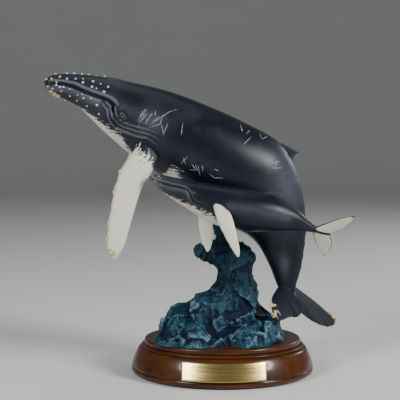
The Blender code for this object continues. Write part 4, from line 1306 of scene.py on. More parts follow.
def studs(name, places, tree, size, spread):
    """A piece of knobs at (point, way out) places in millimetres."""
    points = [place for place, _ in places]
    ways = np.array([tuple(way) for _, way in places])
    piece = new_piece(name, [tuple(p) for p in points], [], None, {"way": ways})
    run_tree(piece, tree, Size=size * MM, Spread=spread)
    return piece


def strokes(name, lines, tree, width):
    """A piece of thin strokes along lines of points in millimetres."""
    points, edges = [], []
    for line in lines:
        start = len(points)
        points += [tuple(p * MM) for p in line]
        edges += [(start + i, start + i + 1) for i in range(len(line) - 1)]
    mesh = bpy.data.meshes.new(name)
    mesh.from_pydata(points, edges, [])
    piece = add_object(name, mesh)
    run_tree(piece, tree, Width=width * MM)
    return piece


def mirrored(place, normal, middle_y):
    """The same place on the other flank."""
    return Vector((place.x, 2 * middle_y - place.y, place.z)), Vector((normal.x, -normal.y, normal.z))


def blade_grid(rows, rings, sides, tips=(False, True)):
    """Rings round a fin: its points, and the shares along it and across it, with rounded tips."""
    flat = [(*lead, *trail, thick) for lead, trail, thick in rows]
    places = even_places(lambda p: spline(flat, p)[:, :3] + spline(flat, p)[:, 3:6], rings)
    read = spline(flat, places)
    lead, trail, thick = read[:, :3], read[:, 3:6], read[:, 6]
    span = unit(np.gradient(lead + trail, axis=0))
    chord = trail - lead
    normal = unit(np.cross(chord, span))
    angle = np.linspace(0.0, math.tau, sides, endpoint=False)
    across = 0.5 - 0.5 * np.cos(angle)
    full = np.sin(angle) * (BLADE_FULL - BLADE_THINNING * across)
    grid = lead[:, None] + chord[:, None] * across[None, :, None]
    grid = grid + normal[:, None] * (thick[:, None] / 2 * full[None])[..., None]
    along = np.broadcast_to(places[:, None], (rings, sides))
    for end, wanted in zip((0, -1), tips):
        if wanted:
            way = span[end] if end else -span[end]
            reach = TIP_REACH * np.linalg.norm(chord[end])
            cap = tip_rings(grid[end], way, reach)
            grid = np.concatenate([grid, cap]) if end else np.concatenate([cap[::-1], grid])
            more = np.broadcast_to(along[end], (len(cap), sides))
            along = np.concatenate([along, more]) if end else np.concatenate([more, along])
    return grid, along, np.broadcast_to(across, along.shape), np.broadcast_to(np.sin(angle), along.shape)


def tip_rings(ring, way, reach):
    """Rings that round off the end of a blade."""
    middle = ring.mean(axis=0)
    turns = np.linspace(0.0, 0.5 * math.pi, TIP_RINGS + 1)[1:] * TIP_TURN
    return np.stack([middle + (ring - middle) * math.cos(t) + way * reach * math.sin(t) for t in turns])


def blade_skin(grid, across):
    """Distances along and across a blade, for its paint."""
    along = run_lengths(grid.mean(axis=1))[:, None] + 0 * across
    chord = np.linalg.norm(grid.max(axis=1) - grid.min(axis=1), axis=1)[:, None] * across
    return np.stack([along, chord, 0 * along], axis=-1)


def waves(share, count, seed):
    """An uneven run of bumps from 0 to 1."""
    chance = random.Random(seed)
    total = 0 * share
    for octave in range(WAVE_OCTAVES):
        turns = count * WAVE_FINER**octave * share + chance.random()
        total = total + np.sin(math.tau * turns) / WAVE_LOWER**octave
    return np.clip(0.5 + WAVE_HEIGHT * total, 0.0, 1.0)


def edge_ways(grid):
    """The way from the leading edge to the trailing edge at each ring."""
    half = grid.shape[1] // 2
    return unit(grid[:, half] - grid[:, 0])[:, None, :]


def make_fin(name, rows, size, brushed, paint):
    """A dorsal fin in its whale's paint, brushed more towards the tip."""
    grid, along, across, _ = blade_grid(rows, *size)
    values = dark_values(blade_skin(grid, across), brushed * along)
    settle(tube_piece(name, grid, paint, values), "whales", "whale_paint")


def make_flipper(node, rows, knob, root_share, material):
    """A flipper with knobs along its leading edge and a dark shoulder."""
    grid, along, across, _ = blade_grid(rows, *FLIPPER_GRID)
    knobs = waves(along, KNOBS, KNOB_SEED)
    lead = (1.0 - rise(across, *KNOB_CHORD)) * rise(along, *KNOB_START)
    grid = grid - edge_ways(grid) * (knob * lead * knobs)[..., None]
    trail = rise(across, *NOTCH_CHORD) * rise(along, *NOTCH_START)
    notches = NOTCH_SHARE * knob * trail * waves(along, NOTCHES, NOTCH_SEED)
    grid = grid - edge_ways(grid) * notches[..., None]
    slant = along - SHOULDER_SLANT * (across - 0.5)
    before, after = SHOULDER_FADE
    root = 1.0 - rise(slant, root_share - before, root_share + after)
    values = {"skin": blade_skin(grid, across), "root": root, "edge": KNOB_WEAR * lead * (1.0 - knobs)}
    settle(tube_piece(f"{node}_skin", grid, material, values), "whales", "flipper_paint", node)


def lobe_rows(lobe, end, back, way):
    """Rows of one lobe of the flukes, from the tail outwards."""
    end, back, way = (np.array(v) for v in (end, back, way))
    back, way = unit(back), unit(way)
    rows = []
    for out, lead, trail, thick in lobe:
        middle = end + way * out
        rows.append((tuple(middle + back * lead), tuple(middle + back * trail), thick))
    return rows


def fluke_rows(right_lobe, left_lobe, end, back, right_way, left_way):
    """Rows of a pair of flukes, from the right tip to the left tip."""
    right = lobe_rows(right_lobe, end, back, right_way)
    left = lobe_rows(left_lobe, end, back, left_way)
    return right[::-1] + left[1:]


def adult_fluke_rows():
    return fluke_rows(
        ADULT_RIGHT_LOBE, ADULT_LEFT_LOBE, ADULT_FLUKE_END, ADULT_FLUKE_BACK,
        ADULT_FLUKE_RIGHT, ADULT_FLUKE_LEFT,
    )


def calf_fluke_rows():
    return fluke_rows(
        CALF_LOBE, CALF_LOBE, CALF_FLUKE_END, CALF_FLUKE_BACK, CALF_FLUKE_RIGHT, CALF_FLUKE_LEFT
    )


def make_flukes(name, rows, node, slot, border, ragged):
    """Flukes with a ragged trailing edge, dark above and cream inside a border below."""
    grid, along, across, face = blade_grid(rows, *FLUKE_GRID, (True, True))
    bite = ragged * waves(along, FINE_BITES, FINE_BITE_SEED) * waves(along, WIDE_BITES, WIDE_BITE_SEED)
    grid = grid - edge_ways(grid) * (rise(across, *BITE_CHORD) * bite)[..., None]
    from_tail = np.abs(along - 0.5)
    fade, end = FLUKE_TRAIL_FADE
    inside = rise(across, border, border + FLUKE_LEAD_FADE)
    inside = inside * (1.0 - rise(across, fade - border, end - border))
    inside = inside * rise(from_tail, *FLUKE_CREAM_START) * (1.0 - rise(from_tail, *FLUKE_CREAM_END))
    below = rise(face, 0.0, FLUKE_BELOW_FADE)
    grey, more_grey = FLUKE_GREY
    values = {
        "skin": blade_skin(grid, across),
        "pale": FLUKE_CREAM * inside * below,
        "edge": FLUKE_WEAR * rise(across, *FLUKE_WORN_CHORD),
        "brushed": grey + more_grey * rise(across, *FLUKE_GREY_CHORD),
    }
    paint = once("painted_fluke", lambda: fluke_paint("painted_fluke"))
    settle(tube_piece(name, grid, paint, values), "whales", slot, node)


def nearest_row(rows, place):
    """The row of points that lies nearest to a place."""
    return rows[np.argmin(np.sum((rows - np.array(place)) ** 2, axis=1))]


def blade_places(piece_rows, clusters, seed, tips):
    """Points for barnacles round chosen places of a blade, with the way out at each."""
    grid, along, across, _ = blade_grid(piece_rows, *BARNACLE_GRID, tips)
    sides = grid.shape[1]
    surface = grid_surface(grid)
    middle = grid.mean(axis=1)
    chance = random.Random(seed)
    places = []
    for share, over, count, spread in clusters:
        ring = int(np.argmin(np.abs(along[:, 0] - share)))
        side = int(np.argmin(np.abs(across[0, : sides // 2] - over)))
        heart = Vector(grid[ring, side])
        for _ in range(count):
            jitter = Vector(chance.gauss(0.0, 0.5 * spread) for _ in range(3))
            place = surface.find_nearest(heart + jitter)[0]
            inner = nearest_row(middle, nearest_row(grid.reshape(-1, 3), place))
            places.append((place, (place - Vector(inner)).normalized()))
    return places


class STATUETTE_OT_adult(bpy.types.Operator):
    """Model and paint the adult's body and dorsal fin"""

    bl_idname = "statuette.adult"
    bl_label = "Adult body"

    def execute(self, context):
        relief = settings().relief
        body = Body(ADULT_ROWS + ADULT_TAIL_ROWS, *ADULT_GRID)
        plain = body.surface()
        points = body.folded()
        mouth = (relief.mouth_depth, ADULT_MOUTH_SIZE)
        marks = head_relief(points, plain, ADULT_HEAD, mouth, ADULT_FOLD_SIZE, ADULT_LID_SIZE)
        marks += BLOWHOLE_HEIGHT * bell(np.linalg.norm(points - np.array(BLOWHOLE), axis=1), BLOWHOLE_WIDTH)
        marks = marks.reshape(body.round.shape)
        pleats = pleat_relief(body, *ADULT_PLEAT_SPAN, PLEAT_TOP, relief.pleats, relief.pleat_depth)
        body.lift(marks + pleats + knuckle_relief(body))
        # Dry-brushed wear on the crests of the relief; painted shade takes grey away in its grooves
        worn = np.clip(ADULT_WEAR_AND_SHADE * marks, *ADULT_WEAR_AND_SHADE_RANGE)
        # Brushed grey on the jaw and by the scratches; painted highlights on the hind flank and the tail
        grey = self.brushed(points, plain).reshape(body.round.shape)
        values = {
            "skin": body.skin,
            # The cream of the throat, painted dark as shade under the flipper's armpit
            "pale": throat(body, ADULT_THROAT, ADULT_THROAT_SLOPE),
            "brushed": np.clip(grey + worn, 0.0, ADULT_MOST_GREY),
            "speckle": ADULT_SPECKLE * (1.0 - rise(body.x, *ADULT_SNOUT)),
        }
        paint = once("adult_skin", lambda: whale_skin_paint("adult_skin", ADULT_TEAR))
        piece = tube_piece("adult_skin", body.grid, paint, values)
        settle(piece, "whales", "whale_paint", "adult_body")
        make_fin("adult_dorsal_fin", ADULT_FIN_ROWS, ADULT_FIN_GRID, ADULT_FIN_GREY, paint)
        return {"FINISHED"}

    @staticmethod
    def brushed(points, plain):
        """Grey brushed over the jaw and by the scratches, and painted highlights over the hind flank and the
        tail.
        """
        grey = np.zeros(len(points))
        for pixel, scale, radius, strength in ADULT_GREY_AND_HIGHLIGHTS:
            heart = np.array(seen_on(plain, *pixel)[0])
            grey += strength * bell(np.linalg.norm((points - heart) * scale, axis=1), radius)
        return grey


class STATUETTE_OT_calf(bpy.types.Operator):
    """Model and paint the calf's body and dorsal fin"""

    bl_idname = "statuette.calf"
    bl_label = "Calf body"

    def execute(self, context):
        relief = settings().relief
        body = Body(CALF_ROWS + CALF_TAIL_ROWS, *CALF_GRID)
        plain = body.surface()
        points = body.folded()
        mouth = (CALF_MOUTH_SHARE * relief.mouth_depth, CALF_MOUTH_SIZE)
        marks = head_relief(points, plain, CALF_HEAD, mouth, CALF_FOLD_SIZE, CALF_LID_SIZE)
        marks = marks.reshape(body.round.shape)
        depth = CALF_PLEAT_SHARE * relief.pleat_depth
        body.lift(marks + pleat_relief(body, *CALF_PLEAT_SPAN, PLEAT_TOP, CALF_PLEATS, depth))
        # Dry-brushed wear on the crests of the relief; painted shade takes grey away in its grooves
        worn = np.clip(CALF_WEAR_AND_SHADE * marks, *CALF_WEAR_AND_SHADE_RANGE)
        snout = 1.0 - rise(body.x, *CALF_SNOUT)
        # Painted highlight along the calf's flank
        distance, _ = measure(points, path_on(plain, CALF_FLANK_HIGHLIGHT))
        streak = CALF_FLANK_HIGHLIGHT_GREY * bell(distance, CALF_FLANK_HIGHLIGHT_WIDTH).reshape(body.round.shape)
        values = {
            "skin": body.skin,
            "pale": throat(body, CALF_THROAT, CALF_THROAT_SLOPE),
            "brushed": np.clip(CALF_SNOUT_GREY * snout + worn + streak, 0.0, CALF_MOST_GREY),
            "speckle": CALF_SPECKLE * snout,
        }
        paint = once("calf_skin", lambda: whale_skin_paint("calf_skin", CALF_TEAR))
        piece = tube_piece("calf_skin", body.grid, paint, values)
        settle(piece, "whales", "whale_paint", "calf_body")
        make_fin("calf_dorsal_fin", CALF_FIN_ROWS, CALF_FIN_GRID, CALF_FIN_GREY, paint)
        self.bond(paint)
        return {"FINISHED"}

    @staticmethod
    def bond(paint):
        """A spindle of painted resin over the pins, where the calf is joined to the adult."""
        start, end = np.array(CALF_BOND_START), np.array(CALF_BOND_END)
        along = np.linspace(*CALF_BOND_SPAN, CALF_BOND_RINGS)[:, None, None]
        turn = np.linspace(0.0, math.tau, CALF_BOND_SIDES, endpoint=False)[None, :]
        around = CALF_BOND_RADIUS * np.stack([0 * turn, np.cos(turn), np.sin(turn)], axis=-1)
        grid = start + (end - start) * along + around * np.sin(math.pi * along) ** CALF_BOND_FULLNESS
        values = dark_values(grid, 0.0 * grid[..., 0])
        settle(tube_piece("calf_bond", grid, paint, values), "whales", "whale_paint")


class STATUETTE_OT_flippers(bpy.types.Operator):
    """Model and paint the four flippers"""

    bl_idname = "statuette.flippers"
    bl_label = "Flippers"

    def execute(self, context):
        paint = once("painted_flipper", lambda: flipper_paint("painted_flipper"))
        for node, rows, knob, root_share in FLIPPERS:
            make_flipper(node, rows, knob, root_share, paint)
        return {"FINISHED"}


class STATUETTE_OT_flukes(bpy.types.Operator):
    """Model and paint both pairs of flukes"""

    bl_idname = "statuette.flukes"
    bl_label = "Flukes"

    def execute(self, context):
        adult, calf = adult_fluke_rows(), calf_fluke_rows()
        make_flukes("adult_fluke_skin", adult, "adult_flukes", "whale_paint", ADULT_BORDER, ADULT_BITE)
        make_flukes("calf_fluke_skin", calf, "calf_flukes", "flipper_paint", CALF_BORDER, CALF_BITE)
        return {"FINISHED"}


class STATUETTE_OT_head_marks(bpy.types.Operator):
    """Set the tubercles, eyes and scratches on the whales"""

    bl_idname = "statuette.head_marks"
    bl_label = "Tubercles, eyes and scratches"

    def execute(self, context):
        relief = settings().relief
        adult = tree_of(bpy.data.objects["adult_skin"])
        calf = tree_of(bpy.data.objects["calf_skin"])
        middle = ADULT_ROWS[0][5]
        knobs = [seen_on(adult, u, v) for u, v in ADULT_TUBERCLES]
        knobs += [mirrored(place, way, middle) for place, way in knobs]
        tree = stud_tree("Tubercles", tubercle_paint(), cone=False)
        piece = studs("adult_tubercles", knobs, tree, relief.tubercle_size, TUBERCLE_SPREAD)
        settle(piece, "whales", "whale_paint")
        self.scratches(adult, middle, relief.scar_width)
        self.streaks(tree_of(bpy.data.objects["adult_fluke_skin"]), FLUKE_STREAK_WIDTH * relief.scar_width)
        self.eyes(adult, ADULT_EYE, middle, ADULT_EYE_RADIUS, "adult_eyes")
        self.eyes(calf, CALF_EYE, CALF_ROWS[0][5], CALF_EYE_RADIUS, "calf_eyes")
        return {"FINISHED"}

    @staticmethod
    def streaks(flukes, width):
        """Pale streaks under the barnacles of the left fluke."""
        lines = [line_on(flukes, streak) for streak in FLUKE_STREAKS]
        piece = strokes("fluke_streaks", lines, stroke_tree("Streaks", barnacle_paint("streak_paint")), width)
        settle(piece, "whales", "whale_paint")

    @staticmethod
    def scratches(adult, middle, width):
        """Pale scratches on the left flank, and every other one again on the right flank."""
        lines = [line_on(adult, scar) for scar in ADULT_SCARS]
        along, up = FAR_SCAR_SHIFT
        others = [[Vector((p.x + along, 2 * middle - p.y, p.z + up)) for p in line] for line in lines[::2]]
        others = [[adult.find_nearest(p)[0] for p in line] for line in others]
        tree = stroke_tree("Scratches", scar_paint())
        piece = strokes("adult_scratches", lines + others, tree, width)
        settle(piece, "whales", "whale_paint")

    @staticmethod
    def eyes(surface, pixel, middle, radius, name):
        """A pair of glossy eyes, sunk into the skin."""
        place, way = seen_on(surface, *pixel)
        left = place - way * EYE_SINK * radius
        right, out = mirrored(left, way, middle)
        tree = stud_tree(f"Eyes {name}", once("eye_paint", eye_paint), cone=False)
        piece = studs(name, [(left, way), (right, out)], tree, radius, 0.0)
        settle(piece, "whales", "whale_paint")


class STATUETTE_OT_barnacles(bpy.types.Operator):
    """Set clusters of barnacles on the chin, flippers and flukes"""

    bl_idname = "statuette.barnacles"
    bl_label = "Barnacles"

    def execute(self, context):
        adult = tree_of(bpy.data.objects["adult_skin"])
        places = [seen_on(adult, u, v) for u, v in CHIN_BARNACLES]
        places += [mirrored(place, way, ADULT_ROWS[0][5]) for place, way in places]
        left, right, flukes = ADULT_LEFT_FLIPPER_ROWS, ADULT_RIGHT_FLIPPER_ROWS, adult_fluke_rows()
        left_seed, right_seed, fluke_seed = BARNACLE_SEEDS
        places += blade_places(left, FLIPPER_CLUSTERS, left_seed, (False, True))
        places += blade_places(right, FLIPPER_CLUSTERS, right_seed, (False, True))
        places += blade_places(flukes, FLUKE_CLUSTERS, fluke_seed, (True, True))
        tree = stud_tree("Barnacles", barnacle_paint(), cone=True)
        piece = studs("barnacles", places, tree, BARNACLE_SIZE, BARNACLE_SPREAD)
        settle(piece, "whales", "flipper_paint")
        return {"FINISHED"}


class STATUETTE_OT_rock(bpy.types.Operator):
    """Model and paint the rock"""

    bl_idname = "statuette.rock"
    bl_label = "Rock"

    def execute(self, context):
        bm = bmesh.new()
        chance = random.Random(ROCK_SEED)
        for middle, half_sizes, turn in ROCK_LUMPS:
            self.lump(bm, middle, half_sizes, turn, chance)
        bmesh.ops.scale(bm, vec=(MM, MM, MM), verts=bm.verts)
        mesh = bpy.data.meshes.new("rock_skin")
        bm.to_mesh(mesh)
        bm.free()
        piece = add_object("rock_skin", mesh)
        self.join(piece)
        relief = settings().rock
        depths = {"Facet depth": relief.facet, "Crag height": relief.crag, "Comb depth": relief.comb}
        run_tree(piece, crag_tree(rock_paint()), **depths)
        self.seat(piece)
        self.keep_ridges(piece)
        self.keep_hollows(piece)
        piece.data.shade_smooth()
        settle(piece, "base", "rock_paint", "rock")
        return {"FINISHED"}

    @staticmethod
    def lump(bm, middle, half_sizes, turn, chance):
        """Adds a rough ellipsoid, swollen outwards by the fillet."""
        place = Matrix.Translation(middle) @ Matrix.Rotation(math.radians(turn), 4, "Z")
        for vert in bmesh.ops.create_icosphere(bm, subdivisions=2, radius=1.0)["verts"]:
            swell = 1.0 + chance.uniform(-ROCK_ROUGHNESS, ROCK_ROUGHNESS)
            out = Vector(c / s for c, s in zip(vert.co, half_sizes)).normalized()
            vert.co = place @ (Vector(c * s * swell for c, s in zip(vert.co, half_sizes)) + ROCK_FILLET * out)

    @staticmethod
    def join(piece):
        """Joins the swollen lumps into one skin and shrinks it back, which fills the clefts between them."""
        shrinking = [(ROCK_VOXEL, ROCK_FILLET / SHRINK_STEPS)] * SHRINK_STEPS
        for size, sink in (*shrinking, (ROCK_FINE_VOXEL, 0.0)):
            skin = piece.modifiers.new("one_skin", "REMESH")
            skin.mode = "VOXEL"
            skin.voxel_size = size * MM
            soft = piece.modifiers.new("soft", "SMOOTH")
            soft.iterations = ROCK_SOFTENING
            shrink = piece.modifiers.new("shrink", "DISPLACE")
            shrink.mid_level = 0.0
            shrink.strength = -sink * MM
        plain_mesh(piece)

    @staticmethod
    def keep_ridges(piece, rounds=(6, 60), shares=(1.0, 0.4)):
        """Keeps how far each point stands out of its surroundings as ridge, in millimetres."""
        mesh = piece.data
        points = read_vectors(mesh.vertices, "co") / MM
        normals = read_vectors(mesh.vertices, "normal")
        ends = np.empty(2 * len(mesh.edges), np.int32)
        mesh.edges.foreach_get("vertices", ends)
        ends = ends.reshape(-1, 2)
        here = np.concatenate([ends[:, 0], ends[:, 1]])
        there = np.concatenate([ends[:, 1], ends[:, 0]])
        degree = np.bincount(here, minlength=len(points))[:, None]
        ridge = np.zeros(len(points))
        for count, share in zip(rounds, shares):
            soft = points
            for _ in range(count):
                soft = np.stack([np.bincount(here, c[there], len(points)) for c in soft.T], axis=1) / degree
            ridge += share * np.sum((points - soft) * normals, axis=1)
        keep_values(mesh, "ridge", ridge)

    @staticmethod
    def seat(piece):
        """Cuts the rock off flat where it stands on the plinth, and keeps it below the adult's belly."""
        bm = bmesh.new()
        bm.from_mesh(piece.data)
        everything = bm.verts[:] + bm.edges[:] + bm.faces[:]
        bmesh.ops.bisect_plane(
            bm, geom=everything, plane_co=(0, 0, ROCK_FOOT * MM), plane_no=(0, 0, 1), clear_inner=True
        )
        bmesh.ops.holes_fill(bm, edges=[edge for edge in bm.edges if edge.is_boundary])
        bm.to_mesh(piece.data)
        bm.free()
        points = read_vectors(piece.data.vertices, "co") / MM
        belly = Body(ADULT_ROWS, *BELLY_GRID).surface()
        for i in np.nonzero(points[:, 2] > BELLY_FROM)[0]:
            x, y, z = points[i].tolist()
            under = belly.ray_cast(Vector((x, y, 0.0)), Vector((0.0, 0.0, 1.0)))[0]
            if under is not None:
                points[i, 2] = min(z, under.z - FIT_GAP)
        piece.data.vertices.foreach_set("co", (points * MM).astype(np.float32).ravel())
        piece.data.update()

    @staticmethod
    def keep_hollows(piece, reach=16.0, rays=12):
        """Keeps how shut in each point is as hollow, from 0 in the open to 1 in a crevice, for the painted
        shade of the rock.
        """
        surface = tree_of(piece)
        chance = random.Random(HOLLOW_SEED)
        ways = [Vector(chance.gauss(0.0, 1.0) for _ in range(3)).normalized() for _ in range(rays)]
        hollow = []
        for vert in piece.data.vertices:
            start = vert.co / MM + vert.normal * HOLLOW_START
            turned = [way if way.dot(vert.normal) > 0 else -way for way in ways]
            blocked = sum(surface.ray_cast(start, way, reach)[0] is not None for way in turned)
            hollow.append(blocked / rays)
        keep_values(piece.data, "hollow", hollow)


def oval_grid(profile, sides):
    """Rings round the plinth's oval from (inset, height) pairs."""
    angle = np.linspace(0.0, math.tau, sides, endpoint=False)
    rings = []
    for inset, height in profile:
        x = (PLINTH_LENGTH / 2 - inset) * np.cos(angle)
        y = (PLINTH_DEPTH / 2 - inset) * np.sin(angle)
        rings.append(np.stack([x, y, 0 * x + height], axis=1))
    return np.stack(rings)


def flank_inset(share):
    """Inset of the plinth's flank a share of the way up it."""
    swell = FLANK_CROWN * 4 * share * (1 - share)
    return FLANK_LOW_INSET + share * (FLANK_HIGH_INSET - FLANK_LOW_INSET) - swell


def plinth_profile():
    """(inset, height) from the middle of the foot up to the edge of the flat top."""
    foot, top = PLINTH_FOOT, PLINTH_TOP
    high_groove = top - TOP_EDGE_HEIGHT
    low_groove = high_groove - BEAD_HEIGHT
    shoulder = foot + FLANK_HIGH
    shoulder_rise = low_groove - shoulder
    shoulder_run = BEAD_INSET - FLANK_HIGH_INSET
    step = PLINTH_TOP_INSET - BEAD_INSET
    foot_moulding = [
        (FOOT_INSET, foot),
        (0.35 * FOOT_INSET, foot + 0.15 * FLANK_LOW),
        (0.0, foot + 0.45 * FLANK_LOW),
        (0.3 * FOOT_INSET, foot + 0.72 * FLANK_LOW),
        (FLANK_LOW_INSET + GROOVE_DEPTH, foot + 0.85 * FLANK_LOW),
    ]
    shares = np.linspace(0.0, 1.0, 5)
    flank = [(flank_inset(t), foot + FLANK_LOW + t * (FLANK_HIGH - FLANK_LOW)) for t in shares]
    bead = [
        (FLANK_HIGH_INSET + 0.4 * shoulder_run, shoulder + 0.6 * shoulder_rise),
        (BEAD_INSET, low_groove - 0.1 * shoulder_rise),
        (BEAD_INSET + GROOVE_DEPTH, low_groove),
        (BEAD_INSET, low_groove + 0.25 * BEAD_HEIGHT),
        (BEAD_INSET + 0.1 * step, low_groove + 0.6 * BEAD_HEIGHT),
        (BEAD_INSET + 0.7 * step, high_groove - 0.1 * BEAD_HEIGHT),
    ]
    top_edge = [
        (PLINTH_TOP_INSET + GROOVE_DEPTH, high_groove),
        (PLINTH_TOP_INSET, high_groove + 0.2 * TOP_EDGE_HEIGHT),
        (PLINTH_TOP_INSET, high_groove + 0.6 * TOP_EDGE_HEIGHT),
        (PLINTH_TOP_INSET + 0.4 * GROOVE_DEPTH, high_groove + 0.85 * TOP_EDGE_HEIGHT),
        (PLINTH_TOP_INSET + 1.3 * GROOVE_DEPTH, top),
    ]
    return foot_moulding + flank + bead + top_edge


class STATUETTE_OT_plinth(bpy.types.Operator):
    """Turn and lacquer the plinth"""

    bl_idname = "statuette.plinth"
    bl_label = "Plinth"

    def execute(self, context):
        profile = spline(plinth_profile(), np.linspace(0.0, 1.0, PROFILE_STEPS))
        profile[:, 1] = np.clip(profile[:, 1], PLINTH_FOOT, PLINTH_TOP)
        inner = [(PLINTH_TOP_INSET + 2.5 * GROOVE_DEPTH, PLINTH_TOP), (PLINTH_DEPTH / 4, PLINTH_TOP)]
        profile = np.vstack([[(PLINTH_DEPTH / 4, PLINTH_FOOT)], profile, inner])
        piece = tube_piece("plinth_wood", oval_grid(profile, PLINTH_SIDES), wood_paint())
        piece.data.set_sharp_from_angle(angle=PLINTH_SHARP)
        settle(piece, "base", "walnut", "plinth")
        return {"FINISHED"}


class STATUETTE_OT_plate(bpy.types.Operator):
    """Bend the brass plate round the plinth"""

    bl_idname = "statuette.plate"
    bl_label = "Plate"

    def execute(self, context):
        lean = math.atan2(FLANK_HIGH_INSET - FLANK_LOW_INSET, FLANK_HIGH - FLANK_LOW)
        stand_off = FIT_GAP + TAPE_THICKNESS + FIT_GAP
        inset = flank_inset(0.5) - stand_off / math.cos(lean)
        rings = []
        depth, length = PLATE_END_EASE
        for x in np.linspace(-PLATE_LENGTH / 2, PLATE_LENGTH / 2, PLATE_RINGS):
            pull = depth * (1.0 - rise(PLATE_LENGTH / 2 - abs(x), 0.0, length))
            rings.append(np.array([self.on_flank(x, inset, lean, *corner) for corner in self.section(pull)]))
        piece = tube_piece("brass_plate", np.stack(rings), brass_paint())
        piece.data.set_sharp_from_angle(angle=PLATE_SHARP)
        settle(piece, "base", "brass", "name_plate")
        return {"FINISHED"}

    @staticmethod
    def on_flank(x, inset, lean, depth, height):
        """The point at x that is so far out from the back of the plate, and so far up from its middle."""
        inset = inset + height * math.sin(lean)
        half_length = PLINTH_LENGTH / 2 - inset
        half_depth = PLINTH_DEPTH / 2 - inset
        y = -half_depth * math.sqrt(1.0 - (x / half_length) ** 2)
        out = unit(np.array([x / half_length**2, y / half_depth**2, 0.0])) * math.cos(lean)
        middle_height = PLINTH_FOOT + (FLANK_LOW + FLANK_HIGH) / 2
        flat = np.array([x, y, middle_height + height * math.cos(lean)])
        return flat + depth * (out + np.array([0.0, 0.0, math.sin(lean)]))

    @staticmethod
    def section(pull):
        """One cut through the plate, as depths and heights, with its front edges eased."""
        ease = PLATE_EASE
        thick = PLATE_THICKNESS - pull
        edge = PLATE_HEIGHT / 2
        corners = [(0.0, -edge), (thick - ease, -edge), (thick - 0.3 * ease, 0.3 * ease - edge)]
        corners += [(thick, height) for height in np.linspace(ease - edge, edge - ease, PLATE_FACE_ROWS)]
        corners += [(thick - 0.3 * ease, edge - 0.3 * ease), (thick - ease, edge), (0.0, edge)]
        return corners


class STATUETTE_OT_felt(bpy.types.Operator):
    """Lay the felt under the plinth"""

    bl_idname = "statuette.felt"
    bl_label = "Felt"

    def execute(self, context):
        edge = FOOT_INSET + FELT_INSET
        face_inset, side_inset, height = FELT_EASE
        inner, eased, side = edge + FELT_FACE, edge + face_inset, edge + side_inset
        profile = (
            (inner, 0.0), (eased, 0.0), (side, height), (edge, 0.5 * FELT_THICKNESS),
            (side, FELT_THICKNESS - height), (eased, FELT_THICKNESS), (inner, FELT_THICKNESS),
        )
        piece = tube_piece("felt_pad", oval_grid(profile, FELT_SIDES), felt_paint())
        settle(piece, "base", "felt", "felt_base")
        return {"FINISHED"}


class STATUETTE_OT_hidden_pieces(bpy.types.Operator):
    """Finish the rod, screws, washers, dowels, socket and tape"""

    bl_idname = "statuette.hidden_pieces"
    bl_label = "Hidden pieces"

    def execute(self, context):
        steel = metal_paint("bright_steel", STEEL_COLOUR, 0.32)
        for name in STEEL_NODES:
            self.dress(name, steel)
        self.dress("rod_socket", metal_paint("socket_brass", SOCKET_COLOUR, 0.35))
        self.dress("plate_tape", tape_paint())
        return {"FINISHED"}

    @staticmethod
    def dress(name, material):
        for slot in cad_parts[name].material_slots:
            slot.material = material


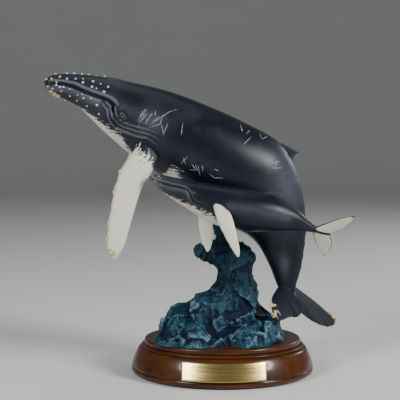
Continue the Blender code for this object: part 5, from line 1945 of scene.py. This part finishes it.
class STATUETTE_OT_stage(bpy.types.Operator):
    """Set up the pale floor, the soft lights and the camera"""

    bl_idname = "statuette.stage"
    bl_label = "Stage"

    def execute(self, context):
        self.floor()
        for name, place, size, power in LIGHTS:
            self.light(name, place, size, power)
        self.world(context.scene)
        self.camera(context.scene)
        return {"FINISHED"}

    @staticmethod
    def floor():
        """A wide floor that curves up into a wall all round."""
        flat, bend = FLOOR_FLAT, FLOOR_BEND
        angles = np.linspace(0.1, 0.5 * math.pi, 14)
        outline = [(0.0, 0.0), (flat, 0.0)]
        outline += [(flat + bend * math.sin(a), bend - bend * math.cos(a)) for a in angles]
        outline.append((flat + bend, WALL_HEIGHT))
        bm = bmesh.new()
        verts = [bm.verts.new((r, 0.0, z)) for r, z in outline]
        edges = [bm.edges.new(pair) for pair in zip(verts, verts[1:])]
        bmesh.ops.spin(
            bm, geom=verts + edges, cent=(0, 0, 0), axis=(0, 0, 1), angle=math.tau, steps=96, use_merge=True
        )
        bmesh.ops.remove_doubles(bm, verts=bm.verts, dist=0.0001)
        mesh = bpy.data.meshes.new("floor")
        bm.to_mesh(mesh)
        bm.free()
        mesh.shade_smooth()
        paint = Paint("floor_paper", roughness=0.8)
        soft = paint.noise(paint.place, scale=3.0, detail=3.0)
        paint.set(base_color=paint.mix(soft, (0.78, 0.78, 0.77), (0.74, 0.74, 0.74)))
        mesh.materials.append(paint.material)
        floor = add_object("floor", mesh)

    @staticmethod
    def light(name, place, size, power):
        lamp = bpy.data.lights.new(name, "AREA")
        lamp.shape = "DISK"
        lamp.size = size
        lamp.energy = power
        aim = Vector(LIGHT_AIM) - Vector(place)
        lamp_object = add_object(name, lamp)
        lamp_object.location = place
        lamp_object.rotation_euler = aim.to_track_quat("-Z", "Y").to_euler()

    @staticmethod
    def world(scene):
        world = bpy.data.worlds.new("soft_room")
        world.use_nodes = True
        background = world.node_tree.nodes["Background"]
        background.inputs["Color"].default_value = ROOM_COLOUR
        background.inputs["Strength"].default_value = ROOM_STRENGTH
        scene.world = world

    @staticmethod
    def camera(scene):
        lens = bpy.data.cameras.new("photo_camera")
        lens.lens = CAMERA_LENS
        lens.sensor_width = CAMERA_SENSOR
        lens.clip_start = 0.01
        camera = add_object("photo_camera", lens)
        camera.location = Vector(CAMERA_PLACE) * MM
        camera.rotation_euler = (math.pi / 2 - CAMERA_PITCH, 0.0, 0.0)
        scene.camera = camera


STEPS = (
    STATUETTE_OT_stage,
    STATUETTE_OT_adult,
    STATUETTE_OT_calf,
    STATUETTE_OT_flippers,
    STATUETTE_OT_flukes,
    STATUETTE_OT_head_marks,
    STATUETTE_OT_barnacles,
    STATUETTE_OT_rock,
    STATUETTE_OT_plinth,
    STATUETTE_OT_plate,
    STATUETTE_OT_felt,
    STATUETTE_OT_hidden_pieces,
)


class STATUETTE_PT_panel(bpy.types.Panel):
    """Lists the steps that build the statuette"""

    bl_idname = "STATUETTE_PT_panel"
    bl_label = "Statuette"
    bl_space_type = "VIEW_3D"
    bl_region_type = "UI"
    bl_category = "Statuette"

    def draw(self, context):
        for step in STEPS:
            self.layout.operator(step.bl_idname)


GROUPS = (WhalePaint, WhaleRelief, RockFinish, PlinthFinish, StatuetteSettings)


def register():
    for kind in (*GROUPS, *STEPS, STATUETTE_PT_panel):
        bpy.utils.register_class(kind)
    bpy.types.Scene.statuette = bpy.props.PointerProperty(type=StatuetteSettings)


def unregister():
    del bpy.types.Scene.statuette
    for kind in reversed((*GROUPS, *STEPS, STATUETTE_PT_panel)):
        bpy.utils.unregister_class(kind)


def main():
    register()
    for step in STEPS:
        name = step.bl_idname.split(".")[1]
        getattr(bpy.ops.statuette, name)()


if __name__ == "__main__":
    main()
